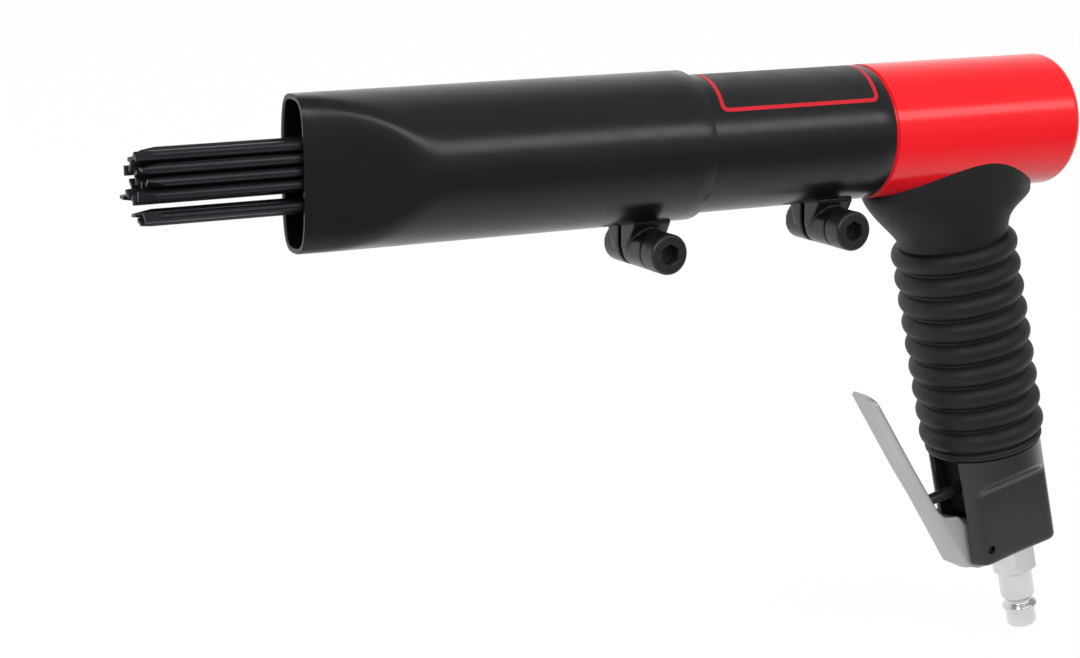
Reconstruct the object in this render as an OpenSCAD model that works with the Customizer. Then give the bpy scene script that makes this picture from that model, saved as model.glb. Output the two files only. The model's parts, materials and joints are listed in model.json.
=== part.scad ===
// Pistol grip needle scaler, driven by compressed air.
// Row frame: origin on the inlet plug's axis at the shoulder of its nose, +X towards
// the needle tips, +Z up. The barrel lies along +X and the handle leans back by handle_lean.

/* [Housing] */
// Outer radius of the red rear housing
housing_r = 22.2; // [21.2:0.1:26]
// Length of the housing that shows behind the tubes
housing_len = 76.3; // [72:0.1:90]
// Rounding of the housing's rear edge
housing_edge = 3.4; // [0.5:0.1:5]
// Length of the spigot that the mid tube is clamped on
spigot_len = 34; // [28:0.5:44]
// Radius of the cast handle core inside the rubber
core_r = 15; // [13:0.1:16.5]

/* [Tubes] */
// Outer radius of the mid tube
mid_tube_r = 22; // [21.2:0.1:24]
// Wall of the mid tube
mid_tube_wall = 2; // [1.4:0.1:2.6]
// Whole length of the mid tube
mid_tube_len = 109; // [100:0.5:125]
// Length of the mid tube that shows between housing and front tube
mid_tube_show = 69.5; // [62:0.5:76]
// Wall of the front tube
front_tube_wall = 1.75; // [1.2:0.05:2.5]
// Length of the front tube
front_tube_len = 133; // [125:0.5:150]
// Length of the pressed flats at the mouth
flat_len = 33; // [26:0.5:44]
// Outer width of the mouth
mouth_w = 17.2; // [16.6:0.1:24]
// Wall at the mouth
mouth_wall = 1.4; // [1:0.05:1.6]

/* [Clamps] */
// Distance of a clamp screw from its tube's rear edge
clamp_setback = 14.8; // [12:0.1:20]
// Distance of a clamp screw below its tube's surface
clamp_drop = 7.3; // [6.8:0.1:10]
// Outer radius of the clamp bosses
boss_r = 6.4; // [5.8:0.1:7]
// Length of the boss under the screw head
near_boss_len = 11.2; // [9:0.1:14]
// Length of the threaded boss
far_boss_len = 9.6; // [8:0.1:13]
// Width of the slit between the bosses
slit_w = 1.8; // [1:0.1:3]
// Radius of the clamp screws
screw_r = 4; // [3:0.1:4.5]

/* [Needles] */
// Rows of needles in a column
needle_rows = 5; // [4:1:5]
// Radius of a needle
needle_r = 1.5; // [1:0.05:1.6]
// Length of needle that stands out of the mouth
needle_show = 51; // [44:0.5:56]
// Distance between columns of needles
column_pitch = 3.5; // [3.4:0.02:3.6]
// Distance between needles in a column
row_pitch = 3.85; // [3.8:0.05:4.4]
// Axial play of a needle between anvil and holder
needle_play = 5; // [4:0.1:6]
// Thickness of the holder's drilled plate
holder_len = 12; // [8:0.5:16]
// Wire radius of the return spring
return_wire_r = 1.3; // [0.8:0.05:1.6]
// Curls of the return spring
return_curls = 9; // [6:1:11]

/* [Hammer] */
// Bore radius of the cylinder
bore_r = 12.5; // [10:0.1:13]
// Length of the cylinder
cylinder_len = 73; // [68:0.5:78]
// Length of the cylinder that stands out of the spigot
cylinder_show = 22.82; // [20:0.01:26]
// Length of the piston
piston_len = 32; // [24:0.5:40]
// Radius of the anvil's shank
shank_r = 8; // [6:0.1:9]
// Length of the anvil's shank inside the bore
shank_reach = 6; // [3:0.1:10]

/* [Handle] */
// Backward lean of the handle in degrees
handle_lean = 12.6; // [8:0.1:18]
// Distance of the handle's axis from the housing's rear face, on the barrel axis
handle_x = 45; // [43:0.1:47]
// Height of the barrel axis over the plug's shoulder, along the handle
handle_len = 180.2; // [176:0.1:190]
// Outer radius of the grip's ribs
rib_r = 21.6; // [20.5:0.1:23]
// Distance between ribs, before they are evened out along the handle
rib_spacing = 8.1; // [7.6:0.05:8.4]
// Radius at the bottom of the grooves between ribs
groove_r = 19.2; // [18:0.1:20]

/* [Base] */
// Radius of the valve body under the grip
base_r = 19.5; // [18.5:0.1:21]
// Height of the valve body
base_len = 39.4; // [34:0.1:44]
// Half width across the body's side flats
base_flat = 12.5; // [11.5:0.1:14]
// Width of the lever's sheet
lever_w = 13.4; // [11.5:0.1:14]
// Thickness of the lever's sheet
lever_t = 1.5; // [1:0.1:2]
// Length of the lever above its pivot
lever_len = 75.5; // [60:0.5:80]
// Angle between the lever at rest and the handle in degrees
lever_angle = 20.8; // [19:0.1:24]
// Radius of the lever's pivot pin
pin_r = 1.5; // [1.2:0.05:2]
// Radius of the push stem
stem_r = 2; // [1.5:0.05:2.4]

/* [Inlet plug] */
// Hexagon across flats
plug_hex = 14; // [13:0.5:15]
// Radius of the plug's nose
nose_r = 5.15; // [4.8:0.05:5.8]
// Length of the plug's hexagon
hex_len = 11.4; // [8:0.1:14]
// Length of the plug's nose
nose_len = 6.6; // [5:0.1:9]
// Radius of the air bore
plug_bore_r = 3.4; // [2.5:0.1:3.8]
// Offset of the plug behind the handle's axis
plug_offset = 4.7; // [3:0.1:5.5]

/* [Hidden] */
$fn = 64;

// Clearances and overrun
over = 1;
fit_gap = 0.05;
seat_gap = 0.02;
face_gap = 0.3;

// Barrel stations along the barrel axis, from the housing's rear face
mid_start = housing_len + face_gap;
front_start = mid_start + mid_tube_show;
mouth_x = front_start + front_tube_len;
needle_tip_x = mouth_x + needle_show;
spigot_end = housing_len + spigot_len;
mid_bore_r = mid_tube_r - mid_tube_wall;
spigot_r = mid_bore_r - fit_gap;
front_bore_r = mid_tube_r + fit_gap;
front_tube_r = front_bore_r + front_tube_wall;
rim_chamfer = 0.6;

// Needle pack
needle_columns = 4;
head_lip = 0.35;
head_r = needle_r + head_lip;
head_len = 3;
hole_gap = 0.1;
holder_r = mid_bore_r - 2 * fit_gap;
head_room_wall = 3;
needle_stagger_share = 0.9;
row_shift = 0.74;
low_row_gap = 2.5;
pack_drop = 0.5;
golden_share = 0.618;
chisel_len = 5.5;
chisel_t = 1;
roll_step = 137.5;
needle_count = needle_columns * needle_rows - 1;

// Hammer cylinder and flutter valve
cylinder_front = spigot_end + cylinder_show;
cylinder_rear = cylinder_front - cylinder_len;
cylinder_r = 16.5;
liner_r = cylinder_r + seat_gap;
neck_len = 11;
neck_rear = cylinder_front - neck_len;
port_r = 2.2;
port_count = 6;
port_share = 0.5;
piston_grooves = 3;
piston_groove_w = 2;
piston_groove_depth = 0.8;
case_front_len = 6;
case_rear_len = 8;
case_front_x = cylinder_rear - case_front_len;
case_rear_x = case_front_x - case_rear_len;
disc_r = 9;
disc_t = 0.9;
disc_travel = 0.8;
disc_room = disc_t + disc_travel + 2 * fit_gap;
disc_gap = 0.1;
air_port_r = 1.4;
air_port_ring = 6;
plenum_len = 14;
plenum_rear = case_rear_x - plenum_len;
passage_r = 4.2;

// Anvil, holder and needles, forward from the cylinder
anvil_len = 11.7;
anvil_rear = cylinder_front + face_gap;
anvil_front = anvil_rear + anvil_len;
holder_rear = anvil_front + needle_play + head_len;
holder_front = holder_rear + holder_len;
needle_len = needle_tip_x - holder_rear + seat_gap + head_len;

// Return spring
return_inset = 0.4;
return_r = holder_r - head_room_wall + return_wire_r - return_inset;
return_seat_share = 0.12;
return_start = holder_front + face_gap + return_wire_r;
return_end = mouth_x - flat_len * (1 - return_seat_share) - return_wire_r;

// Mouth of the front tube, a loft from round to flattened
mouth_rings = 12;
mouth_sides = 64;
mouth_power = 12;
mouth_slope_share = 0.58;
mouth_blend_share = 0.3;
mouth_overlap = 2;
mouth_inset = 0.06;
mouth_least_share = 0.001;
loft_x = mouth_x - flat_len * (1 + mouth_blend_share);

// Clamp details
ear_len_share = 1.05;
ear_top_share = 1.5;
ear_reach_share = 0.62;
slit_past_share = 1.7;
screw_gap = 0.2;
screw_head_share = 1.625;
screw_head_len_share = 2;
socket_share = 1.5;
socket_depth_share = 1.1;
head_screw_r = screw_r * screw_head_share;
head_screw_len = screw_r * screw_head_len_share;
socket_af = screw_r * socket_share;
socket_depth = screw_r * socket_depth_share;
screw_chamfer = 0.7;
ear_root_share = 0.75;

// Inlet plug, heights from the nose shoulder
ring_r = 6.1;
ring_len = 1.7;
plug_neck_r = 4.6;
plug_neck_len = 1.9;
plug_cone = 0.8;
plug_body_r = 6;
plug_body_len = 9.8;
plug_thread_r = 6.4;
plug_thread_len = 11;
nose_round = 1;
hex_bottom = ring_len + plug_neck_len + plug_cone + plug_body_len;
hex_chamfer = 1;

// Handle heights over the plug's shoulder, along the handle
base_bottom = hex_bottom + hex_len;
base_top = base_bottom + base_len;
sleeve_bottom = base_top + face_gap;
lip_r = 20.3;
lip_bulge = 1.45;
lip_step = 5.35;
lip_h = sleeve_bottom + lip_bulge;
rib_last = lip_h + lip_step;
rib_drop = 43.3;
rib_first = handle_len - rib_drop;
rib_count = 1 + max(1, round((rib_first - rib_last) / rib_spacing));
rib_pitch = (rib_first - rib_last) / (rib_count - 1);
rib_bulge = rib_pitch / 2 + fit_gap;
base_round = 2;
core_seat_r = 9;
core_seat_len = 2.6;

// Saddle of the grip under the barrel
saddle_levels = 12;
saddle_sides = 40;
bulge_steps = 4;
saddle_front = 36.2;
saddle_rear = 28.8;
saddle_side = 19.3;
saddle_neck = 18.6;
saddle_front_power = 1.05;
saddle_rear_power = 1.8;
saddle_tip_power = 1.12;
saddle_lip = 12.5;
saddle_foot_share = 0.78;
saddle_foot = rib_first + rib_bulge * saddle_foot_share;
saddle_rise = (handle_len - saddle_foot) * cos(handle_lean) - housing_r;

// Lever, stem and valve
pivot_x = 12.2;
pivot_rise = 5.7;
pivot_h = base_bottom + pivot_rise;
lever_off = 8.75;
lever_corner = 2.6;
cheek_r = 7;
cheek_rise_share = 3.57;
cheek_toe_share = -0.23;
cheek_heel_shares = [0.6, -0.8];
cheek_top_shares = [[1.14, 3.57], [1.08, 3.14], [1, 2.9], [0.87, 2.73], [0.71, 2.59], [0.51, 2.41],
    [0.41, 2.31], [0.33, 2.17], [0.24, 1.97], [0.16, 1.71], [-0.6, 0.8]];
bend_r = 3.2;
slot_gap = 0.4;
slot_w = lever_w + 2 * slot_gap;
slot_depth = 6;
slot_deep = 14.8;
slot_round = 2.5;
slot_round_steps = 6;
slot_tip = 0.15;
slot_knee = 12.2;
flat_ramp = 5.35;
flat_top = 7.35;
stem_rise = 20.9;
stem_h = pivot_h + stem_rise;
lever_face = lever_off - lever_t / 2;
lever_face_x = pivot_x + lever_face / cos(lever_angle) + (stem_h - pivot_h) * tan(lever_angle);
stem_tip_x = lever_face_x - stem_r / cos(lever_angle) + stem_r - face_gap;
stem_root_x = 3.8;
poppet_r = 4.4;
poppet_t = 2.2;
chamber_gap = 0.6;
chamber_r = poppet_r + chamber_gap;
chamber_end = -13.8;
bush_r = 5.8;
bush_in = 4.6;
seal_wire = 0.75;
seal_x = 10;
stub_r = 1.7;
stub_len = 3;
valve_wire_r = 0.5;
valve_curls = 6;
valve_spring_r = 3;
poppet_seal_t = 0.8;
pin_inset = 1.4;
pin_chamfer = 0.3;

// Places of the two axes in the row frame
barrel_z = handle_len * cos(handle_lean) - plug_offset * sin(handle_lean);
barrel_x = handle_len * sin(handle_lean) + plug_offset * cos(handle_lean) - handle_x;

function needle_name(i) = str("needle_", i < 9 ? "0" : "", i + 1);
function fraction(x) = x - floor(x);
function ease(v) = v <= 0 ? 0 : v >= 1 ? 1 : v * v * (3 - 2 * v);

// Barrel frame: z runs forward from the housing's rear face, x points down
module on_barrel(x = 0) {
    translate([barrel_x + x, 0, barrel_z]) rotate([0, 90, 0]) children();
}

// Handle frame: z runs up the handle from the plug's shoulder, x points forward,
// with the handle's own axis at x = 0
module on_handle() {
    rotate([0, handle_lean, 0]) translate([plug_offset, 0, 0]) children();
}

module tube(r_out, r_in, len) {
    difference() {
        cylinder(r = r_out, h = len);
        translate([0, 0, -over]) cylinder(r = r_in, h = len + 2 * over);
    }
}

module chamfered_rod(r, len, c) {
    rotate_extrude() polygon([[0, 0], [r - c, 0], [r, c], [r, len - c], [r - c, len], [0, len]]);
}

module ring_of(count, radius) {
    for (i = [0 : count - 1]) rotate([0, 0, i * 360 / count]) translate([radius, 0, 0]) children();
}

module hexagon(af, len) {
    cylinder(r = af / 2 / cos(30), h = len, $fn = 6);
}

// Faces of a tube mesh made of rings with the same number of sides
function ring_faces(rings, sides) = [
    for (i = [0 : rings - 2]) for (j = [0 : sides - 1]) let (k = (j + 1) % sides)
        each [[i * sides + j, (i + 1) * sides + j, (i + 1) * sides + k],
              [i * sides + j, (i + 1) * sides + k, i * sides + k]]];

function end_fan(first, sides, up) = [
    for (j = [1 : sides - 2]) up ? [first, first + j + 1, first + j] : [first, first + j, first + j + 1]];

// Coil spring along z: one unbroken tube with closer end curls
coil_rings = 8;
coil_sides = 6;
coil_close_share = 0.45;
function coil_rise(u, curls) = let (a = 1 / curls)
    u < a ? coil_close_share * u
    : u > 1 - a ? 1 - coil_close_share * (1 - u)
    : let (m = (1 - 2 * coil_close_share * a) / (1 - 2 * a)) coil_close_share * a + (u - a) * m;
function coil_point(i, curls, radius, len) = let (u = i / (curls * coil_rings), t = 360 * i / coil_rings)
    [radius * cos(t), radius * sin(t), coil_rise(u, curls) * len];
function coil_ring(i, curls, radius, len, wire) = let (t = 360 * i / coil_rings,
    p = coil_point(i, curls, radius, len))
    [for (j = [0 : coil_sides - 1]) let (w = 360 * j / coil_sides)
        p + wire * [cos(w) * cos(t), cos(w) * sin(t), -sin(w)]];
function coil_gap(curls, radius, len, wire) = min([
    for (i = [0 : curls * coil_rings]) for (j = [i + coil_rings / 2 : curls * coil_rings])
        norm(coil_point(i, curls, radius, len) - coil_point(j, curls, radius, len))]) - 2 * wire;
module coil(curls, radius, len, wire) {
    n = curls * coil_rings + 1;
    points = [for (i = [0 : n - 1]) each coil_ring(i, curls, radius, len, wire)];
    faces = concat(ring_faces(n, coil_sides), end_fan(0, coil_sides, false),
        end_fan((n - 1) * coil_sides, coil_sides, true));
    polyhedron(points, faces);
    echo(coil_least_gap = coil_gap(curls, radius, len, wire));
}

// Housing and handle

module rear_housing() {
    color("crimson") difference() {
        union() {
            on_barrel() {
                rotate_extrude() difference() {
                    union() {
                        square([housing_r - housing_edge, housing_len]);
                        translate([0, housing_edge])
                            square([housing_r, housing_len - housing_edge - rim_chamfer]);
                        translate([0, housing_len - 2 * rim_chamfer])
                            square([housing_r - rim_chamfer, 2 * rim_chamfer]);
                        translate([housing_r - housing_edge, housing_edge]) circle(housing_edge);
                    }
                    translate([-housing_r, -over]) square([housing_r, housing_len + 2 * over]);
                }
                cylinder(r = spigot_r, h = spigot_end);
            }
            on_handle() {
                translate([0, 0, base_top]) cylinder(r = core_r, h = handle_len - base_top);
                translate([0, 0, base_top - core_seat_len])
                    cylinder(r = core_seat_r, h = core_seat_len + over);
            }
        }
        on_barrel(plenum_rear) cylinder(r = liner_r, h = spigot_end);
        on_handle() translate([0, 0, base_top - core_seat_len - over])
            cylinder(r = passage_r, h = handle_len - base_top);
    }
}

// Half length of the saddle at a height over its foot
function saddle_reach(z, tip, power) = saddle_neck + (tip - saddle_neck) * ease(pow(z / saddle_rise, power));

// One ring of the saddle: square to the handle at the foot, level from the barrel's underside up
function saddle_ring(z) = let (tilt = tan(handle_lean) * (1 - ease(z / saddle_rise)))
    [for (j = [0 : saddle_sides - 1])
        let (a = 360 * j / saddle_sides, c = cos(a),
            reach = c > 0 ? saddle_reach(z, saddle_front, saddle_front_power)
                : saddle_reach(z, saddle_rear, saddle_rear_power),
            side = saddle_neck + (saddle_side - saddle_neck) * ease(z / saddle_rise),
            x = reach * sign(c) * pow(abs(c), c > 0 ? saddle_tip_power : 1))
        [x * (z == 0 ? cos(handle_lean) : 1), side * sin(a), z - x * (z == 0 ? sin(handle_lean) : tilt)]];

// One round ring of the ribbed part, turned into the level frame of the saddle
function rib_ring(h, r) = [for (j = [0 : saddle_sides - 1])
    let (a = 360 * j / saddle_sides, x = r * cos(a), z = h - saddle_foot)
    [x * cos(handle_lean) + z * sin(handle_lean), r * sin(a), z * cos(handle_lean) - x * sin(handle_lean)]];

// Rings of one rounded bulge, from one angle of its half circle to another
function bulge_rings(h, r, bulge, from, to) = [for (k = [0 : bulge_steps])
    let (a = from + (to - from) * k / bulge_steps)
    each rib_ring(h + bulge * sin(a), r - bulge + bulge * cos(a))];

// Outside of the whole sleeve: the end lip, the ribs and the saddle as one skin
module sleeve_skin() {
    lip_edge = acos((groove_r - lip_r + lip_bulge) / lip_bulge);
    rib_edge = acos((groove_r - rib_r + rib_bulge) / rib_bulge);
    foot_edge = asin(saddle_foot_share);
    points = concat(
        bulge_rings(lip_h, lip_r, lip_bulge, -90, lip_edge),
        [for (i = [rib_count - 1 : -1 : 0])
            each bulge_rings(rib_first - i * rib_pitch, rib_r, rib_bulge, -rib_edge,
                i == 0 ? foot_edge : rib_edge)],
        [for (i = [0 : saddle_levels]) each saddle_ring(saddle_rise * i / saddle_levels)],
        saddle_ring(saddle_rise + saddle_lip));
    rings = len(points) / saddle_sides;
    polyhedron(points, concat(ring_faces(rings, saddle_sides), [[for (j = [0 : saddle_sides - 1]) j]],
        [[for (j = [saddle_sides - 1 : -1 : 0]) (rings - 1) * saddle_sides + j]]));
}

module grip_sleeve() {
    color("dimgray") difference() {
        on_handle() translate([0, 0, saddle_foot]) rotate([0, -handle_lean, 0]) sleeve_skin();
        on_barrel(-over) cylinder(r = housing_r + seat_gap, h = housing_len + 2 * over);
        on_handle() translate([0, 0, sleeve_bottom - over]) cylinder(r = core_r + seat_gap, h = handle_len);
    }
}

// Removes the material outside one side flat and its slanting run-out
module side_flat() {
    run_out = base_top - flat_top;
    rotate([90, 0, 90]) translate([0, 0, -2 * base_r]) linear_extrude(4 * base_r) polygon([
        [base_flat, base_bottom - over], [base_flat, run_out - flat_ramp], [base_r, run_out],
        [2 * base_r, run_out], [2 * base_r, base_bottom - over]]);
}

// The lever's slot seen along the handle
module slot_section() {
    edge_y = slot_w / 2 + slot_round;
    edge_x = sqrt(base_r * base_r - edge_y * edge_y) - slot_round + slot_tip;
    edge = [for (i = [0 : slot_round_steps]) let (a = 90 * i / slot_round_steps - 90)
        [edge_x + slot_round * cos(a), edge_y + slot_round * sin(a)]];
    back = base_r - slot_depth;
    polygon(concat([[back, slot_w / 2]], edge, [[2 * base_r, edge_y], [2 * base_r, -edge_y]],
        [for (i = [slot_round_steps : -1 : 0]) [edge[i][0], -edge[i][1]]], [[back, -slot_w / 2]]));
}

module handle_base() {
    color([0.09, 0.09, 0.1]) on_handle() difference() {
        union() {
            translate([0, 0, base_bottom + base_round]) cylinder(r = base_r, h = base_len - base_round);
            translate([0, 0, base_bottom]) cylinder(r = base_r - base_round, h = base_len);
            translate([0, 0, base_bottom + base_round]) rotate_extrude()
                translate([base_r - base_round, 0]) circle(base_round);
        }
        side_flat();
        mirror([0, 1, 0]) side_flat();
        // Slot for the lever, with rounded front edges, deeper round the pivot
        translate([0, 0, base_bottom - over]) linear_extrude(base_len + 2 * over) slot_section();
        translate([base_r - slot_deep, -slot_w / 2, base_bottom - over])
            cube([base_r, slot_w, pivot_h + slot_knee - base_bottom + over]);
        // Pin, valve chamber, gland, air ways and plug thread
        translate([pivot_x, 0, pivot_h]) rotate([90, 0, 0])
            cylinder(r = pin_r + seat_gap, h = 4 * base_r, center = true);
        translate([chamber_end, 0, stem_h]) rotate([0, 90, 0]) cylinder(r = chamber_r, h = base_r);
        translate([bush_in, 0, stem_h]) rotate([0, 90, 0]) cylinder(r = bush_r + seat_gap, h = base_r);
        translate([0, 0, stem_h]) cylinder(r = passage_r, h = base_len);
        translate([0, 0, base_top - core_seat_len - face_gap])
            cylinder(r = core_seat_r + seat_gap, h = base_len);
        translate([-plug_offset, 0, base_bottom - over])
            cylinder(r = plug_thread_r + seat_gap, h = plug_thread_len + over + face_gap);
        translate([-plug_offset, 0, base_bottom]) cylinder(r = plug_bore_r, h = stem_h - base_bottom);
    }
}

// Lever

// Lever frame: z runs up the sheet from the pivot, x points away from the handle
module on_lever() {
    on_handle() translate([pivot_x, 0, pivot_h]) rotate([0, lever_angle, 0]) children();
}

module lever_sheet() {
    half = lever_w / 2 - lever_corner;
    translate([lever_off - lever_t / 2, 0, 0]) rotate([90, 0, 90]) linear_extrude(lever_t) union() {
        translate([-lever_w / 2, 0]) square([lever_w, lever_len - lever_corner]);
        translate([-half, 0]) square([2 * half, lever_len]);
        for (s = [-1, 1]) translate([s * half, lever_len - lever_corner]) circle(lever_corner);
    }
}

// Channel of the lever's lower end, seen along the sheet
module channel_section() {
    front = lever_off + lever_t / 2;
    inner = bend_r - lever_t;
    depth = front + 2 * cheek_r;
    difference() {
        union() {
            translate([front - depth, -lever_w / 2]) square([depth - bend_r, lever_w]);
            translate([front - depth, -lever_w / 2 + bend_r]) square([depth, lever_w - 2 * bend_r]);
            for (s = [-1, 1]) translate([front - bend_r, s * (lever_w / 2 - bend_r)]) circle(bend_r);
        }
        translate([front - 2 * depth, -lever_w / 2 + lever_t])
            square([2 * depth - bend_r, lever_w - 2 * lever_t]);
        translate([front - 2 * depth, -lever_w / 2 + bend_r])
            square([2 * depth - lever_t, lever_w - 2 * bend_r]);
        for (s = [-1, 1]) translate([front - bend_r, s * (lever_w / 2 - bend_r)]) circle(inner);
    }
}

// Outline of the lever's cheeks from the side: a swept top edge and a round lobe on the pivot
module cheek_side() {
    front = lever_off + lever_t / 2;
    circle(cheek_r);
    polygon(concat([[front, cheek_toe_share * cheek_r], [front, cheek_rise_share * cheek_r]],
        cheek_top_shares * cheek_r, [[0, 0], cheek_heel_shares * cheek_r]));
}

module lever() {
    color("lightgray") on_lever() difference() {
        union() {
            difference() {
                lever_sheet();
                translate([-lever_off, -lever_w, -2 * cheek_r])
                    cube([4 * lever_off, 2 * lever_w, 2 * cheek_r + cheek_rise_share * cheek_r]);
            }
            intersection() {
                translate([0, 0, -2 * cheek_r]) linear_extrude(2 * cheek_r + cheek_rise_share * cheek_r)
                    channel_section();
                translate([0, lever_w, 0]) rotate([90, 0, 0]) linear_extrude(2 * lever_w) cheek_side();
            }
        }
        rotate([90, 0, 0]) cylinder(r = pin_r + fit_gap, h = 2 * lever_w, center = true);
    }
}

module lever_pin() {
    len = 2 * (base_flat - pin_inset);
    color("dimgray") on_handle() translate([pivot_x, len / 2, pivot_h]) rotate([90, 0, 0])
        chamfered_rod(pin_r, len, pin_chamfer);
}

// Throttle valve

// Stem frame: z runs forward along the stem from the handle's axis
module on_stem(x = 0) {
    on_handle() translate([x, 0, stem_h]) rotate([0, 90, 0]) children();
}

module valve_bush() {
    color("dimgray") on_stem() difference() {
        translate([0, 0, bush_in + face_gap])
            cylinder(r = bush_r, h = base_r - slot_depth - bush_in - 2 * face_gap);
        translate([0, 0, bush_in]) cylinder(r = stem_r + fit_gap, h = base_r);
        translate([0, 0, seal_x]) rotate_extrude() translate([stem_r + fit_gap + seal_wire, 0])
            circle(seal_wire + seat_gap);
    }
}

module stem_seal() {
    color("black") on_stem(seal_x) rotate_extrude() translate([stem_r + fit_gap + seal_wire, 0])
        circle(seal_wire);
}

module valve_stem() {
    color([0.13, 0.13, 0.14]) on_stem() {
        translate([0, 0, stem_tip_x - stem_r]) sphere(stem_r);
        translate([0, 0, stem_root_x - poppet_t])
            cylinder(r = stem_r, h = stem_tip_x - stem_r - stem_root_x + poppet_t);
        translate([0, 0, stem_root_x - poppet_t]) cylinder(r = poppet_r, h = poppet_t);
        translate([0, 0, stem_root_x - poppet_t - stub_len]) cylinder(r = stub_r, h = stub_len + poppet_t);
    }
}

module poppet_seal() {
    color("black") on_stem(stem_root_x) tube(poppet_r, stem_r + seat_gap, poppet_seal_t);
}

module valve_spring() {
    len = stem_root_x - poppet_t - chamber_end - 2 * valve_wire_r - 2 * fit_gap;
    color("silver") on_stem(chamber_end + valve_wire_r + fit_gap)
        coil(valve_curls, valve_spring_r, len, valve_wire_r);
}

module inlet_plug() {
    neck_h = ring_len;
    cone_h = neck_h + plug_neck_len;
    body_h = cone_h + plug_cone;
    color("gainsboro") rotate([0, handle_lean, 0]) difference() {
        union() {
            rotate_extrude()
                polygon([[0, -nose_len], [nose_r - nose_round, -nose_len], [nose_r, nose_round - nose_len],
                [nose_r, 0], [ring_r, 0], [ring_r, ring_len], [plug_neck_r, neck_h + plug_cone],
                [plug_neck_r, cone_h], [plug_body_r, body_h], [plug_body_r, hex_bottom + over],
                [0, hex_bottom + over]]);
            intersection() {
                translate([0, 0, hex_bottom]) hexagon(plug_hex, hex_len);
                translate([0, 0, hex_bottom]) chamfered_rod(plug_hex / 2 / cos(30), hex_len, hex_chamfer);
            }
            translate([0, 0, hex_bottom + hex_chamfer])
                cylinder(r = plug_thread_r, h = hex_len - hex_chamfer + plug_thread_len);
        }
        translate([0, 0, -nose_len - over]) cylinder(r = plug_bore_r, h = nose_len + base_top);
    }
}

// Flutter valve and hammer

module valve_case_rear() {
    color("silver") on_barrel(case_rear_x) difference() {
        cylinder(r = cylinder_r, h = case_rear_len);
        translate([0, 0, case_rear_len - disc_room]) cylinder(r = disc_r + disc_gap, h = disc_room + over);
        ring_of(port_count, air_port_ring) translate([0, 0, -over])
            cylinder(r = air_port_r, h = case_rear_len);
    }
}

module valve_disc() {
    color("gray") on_barrel(case_front_x - disc_t - fit_gap) cylinder(r = disc_r, h = disc_t);
}

module valve_case_front() {
    color("silver") on_barrel(case_front_x) difference() {
        cylinder(r = cylinder_r, h = case_front_len);
        translate([0, 0, -over]) ring_of(port_count, air_port_ring)
            cylinder(r = air_port_r, h = case_front_len + 2 * over);
    }
}

module cylinder_liner() {
    color("darkgray") on_barrel(cylinder_rear) difference() {
        cylinder(r = cylinder_r, h = cylinder_len);
        translate([0, 0, -over]) cylinder(r = bore_r, h = cylinder_len - neck_len + over);
        cylinder(r = shank_r + fit_gap, h = cylinder_len + over);
        translate([0, 0, spigot_end - cylinder_rear + 2 * port_r])
            for (i = [0 : port_count - 1]) rotate([0, 0, (i + port_share) * 360 / port_count])
                rotate([0, 90, 0]) cylinder(r = port_r, h = 2 * cylinder_r);
    }
}

module piston() {
    color("lightsteelblue") on_barrel(cylinder_rear + face_gap) difference() {
        chamfered_rod(bore_r - fit_gap, piston_len, rim_chamfer);
        for (k = [1 : piston_grooves])
            translate([0, 0, piston_len * k / (piston_grooves + 1) - piston_groove_w / 2])
            tube(bore_r + over, bore_r - piston_groove_depth, piston_groove_w);
    }
}

module anvil() {
    color("slategray") on_barrel() {
        translate([0, 0, neck_rear - shank_reach])
            chamfered_rod(shank_r, anvil_front - neck_rear + shank_reach, rim_chamfer);
        translate([0, 0, anvil_rear]) cylinder(r = holder_r, h = anvil_len);
    }
}

// Needle pack

// Column and row of a needle; the far bottom corner is left out and the lowest row stands apart
function needle_column(i) = floor((i + 1) / needle_rows);
function needle_row(i) = (i + 1) % needle_rows;
function needle_y(i) = (needle_column(i) - (needle_columns - 1) / 2) * column_pitch;
function needle_z(i) = (needle_row(i) - (needle_rows - 1) / 2) * row_pitch - pack_drop
    + (needle_column(i) % 2 == 0 ? -1 : 1) * row_shift + (needle_row(i) == 0 ? -1 : 1) * low_row_gap / 2;
function needle_back(i) = needle_play * needle_stagger_share * fraction(i * golden_share);

module at_needle(i) {
    on_barrel() translate([-needle_z(i), needle_y(i), 0]) children();
}

module needle_holder() {
    color("silver") difference() {
        on_barrel(anvil_front + seat_gap) cylinder(r = holder_r, h = holder_front - anvil_front - seat_gap);
        on_barrel(anvil_front - over)
            cylinder(r = holder_r - head_room_wall, h = holder_rear - anvil_front + over);
        for (i = [0 : needle_count - 1]) at_needle(i) translate([0, 0, holder_rear - over])
            cylinder(r = needle_r + hole_gap, h = holder_len + 2 * over);
    }
}

module chisel_cut() {
    slope = atan((needle_r - chisel_t / 2) / chisel_len);
    for (s = [0, 180]) rotate([0, 0, s]) translate([needle_r, -2 * needle_r, -chisel_len])
        rotate([0, -slope, 0]) cube([2 * needle_r, 4 * needle_r, 2 * chisel_len]);
}

module needle(i) {
    color([0.2, 0.22, 0.26]) at_needle(i) translate([0, 0, needle_tip_x - needle_back(i)]) difference() {
        translate([0, 0, -needle_len]) {
            cylinder(r = needle_r, h = needle_len);
            cylinder(r = head_r, h = head_len);
        }
        rotate([0, 0, i * roll_step]) chisel_cut();
    }
}

module return_spring() {
    color("silver") on_barrel(return_start)
        coil(return_curls, return_r, return_end - return_start, return_wire_r);
}

// Tubes and clamps

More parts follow.
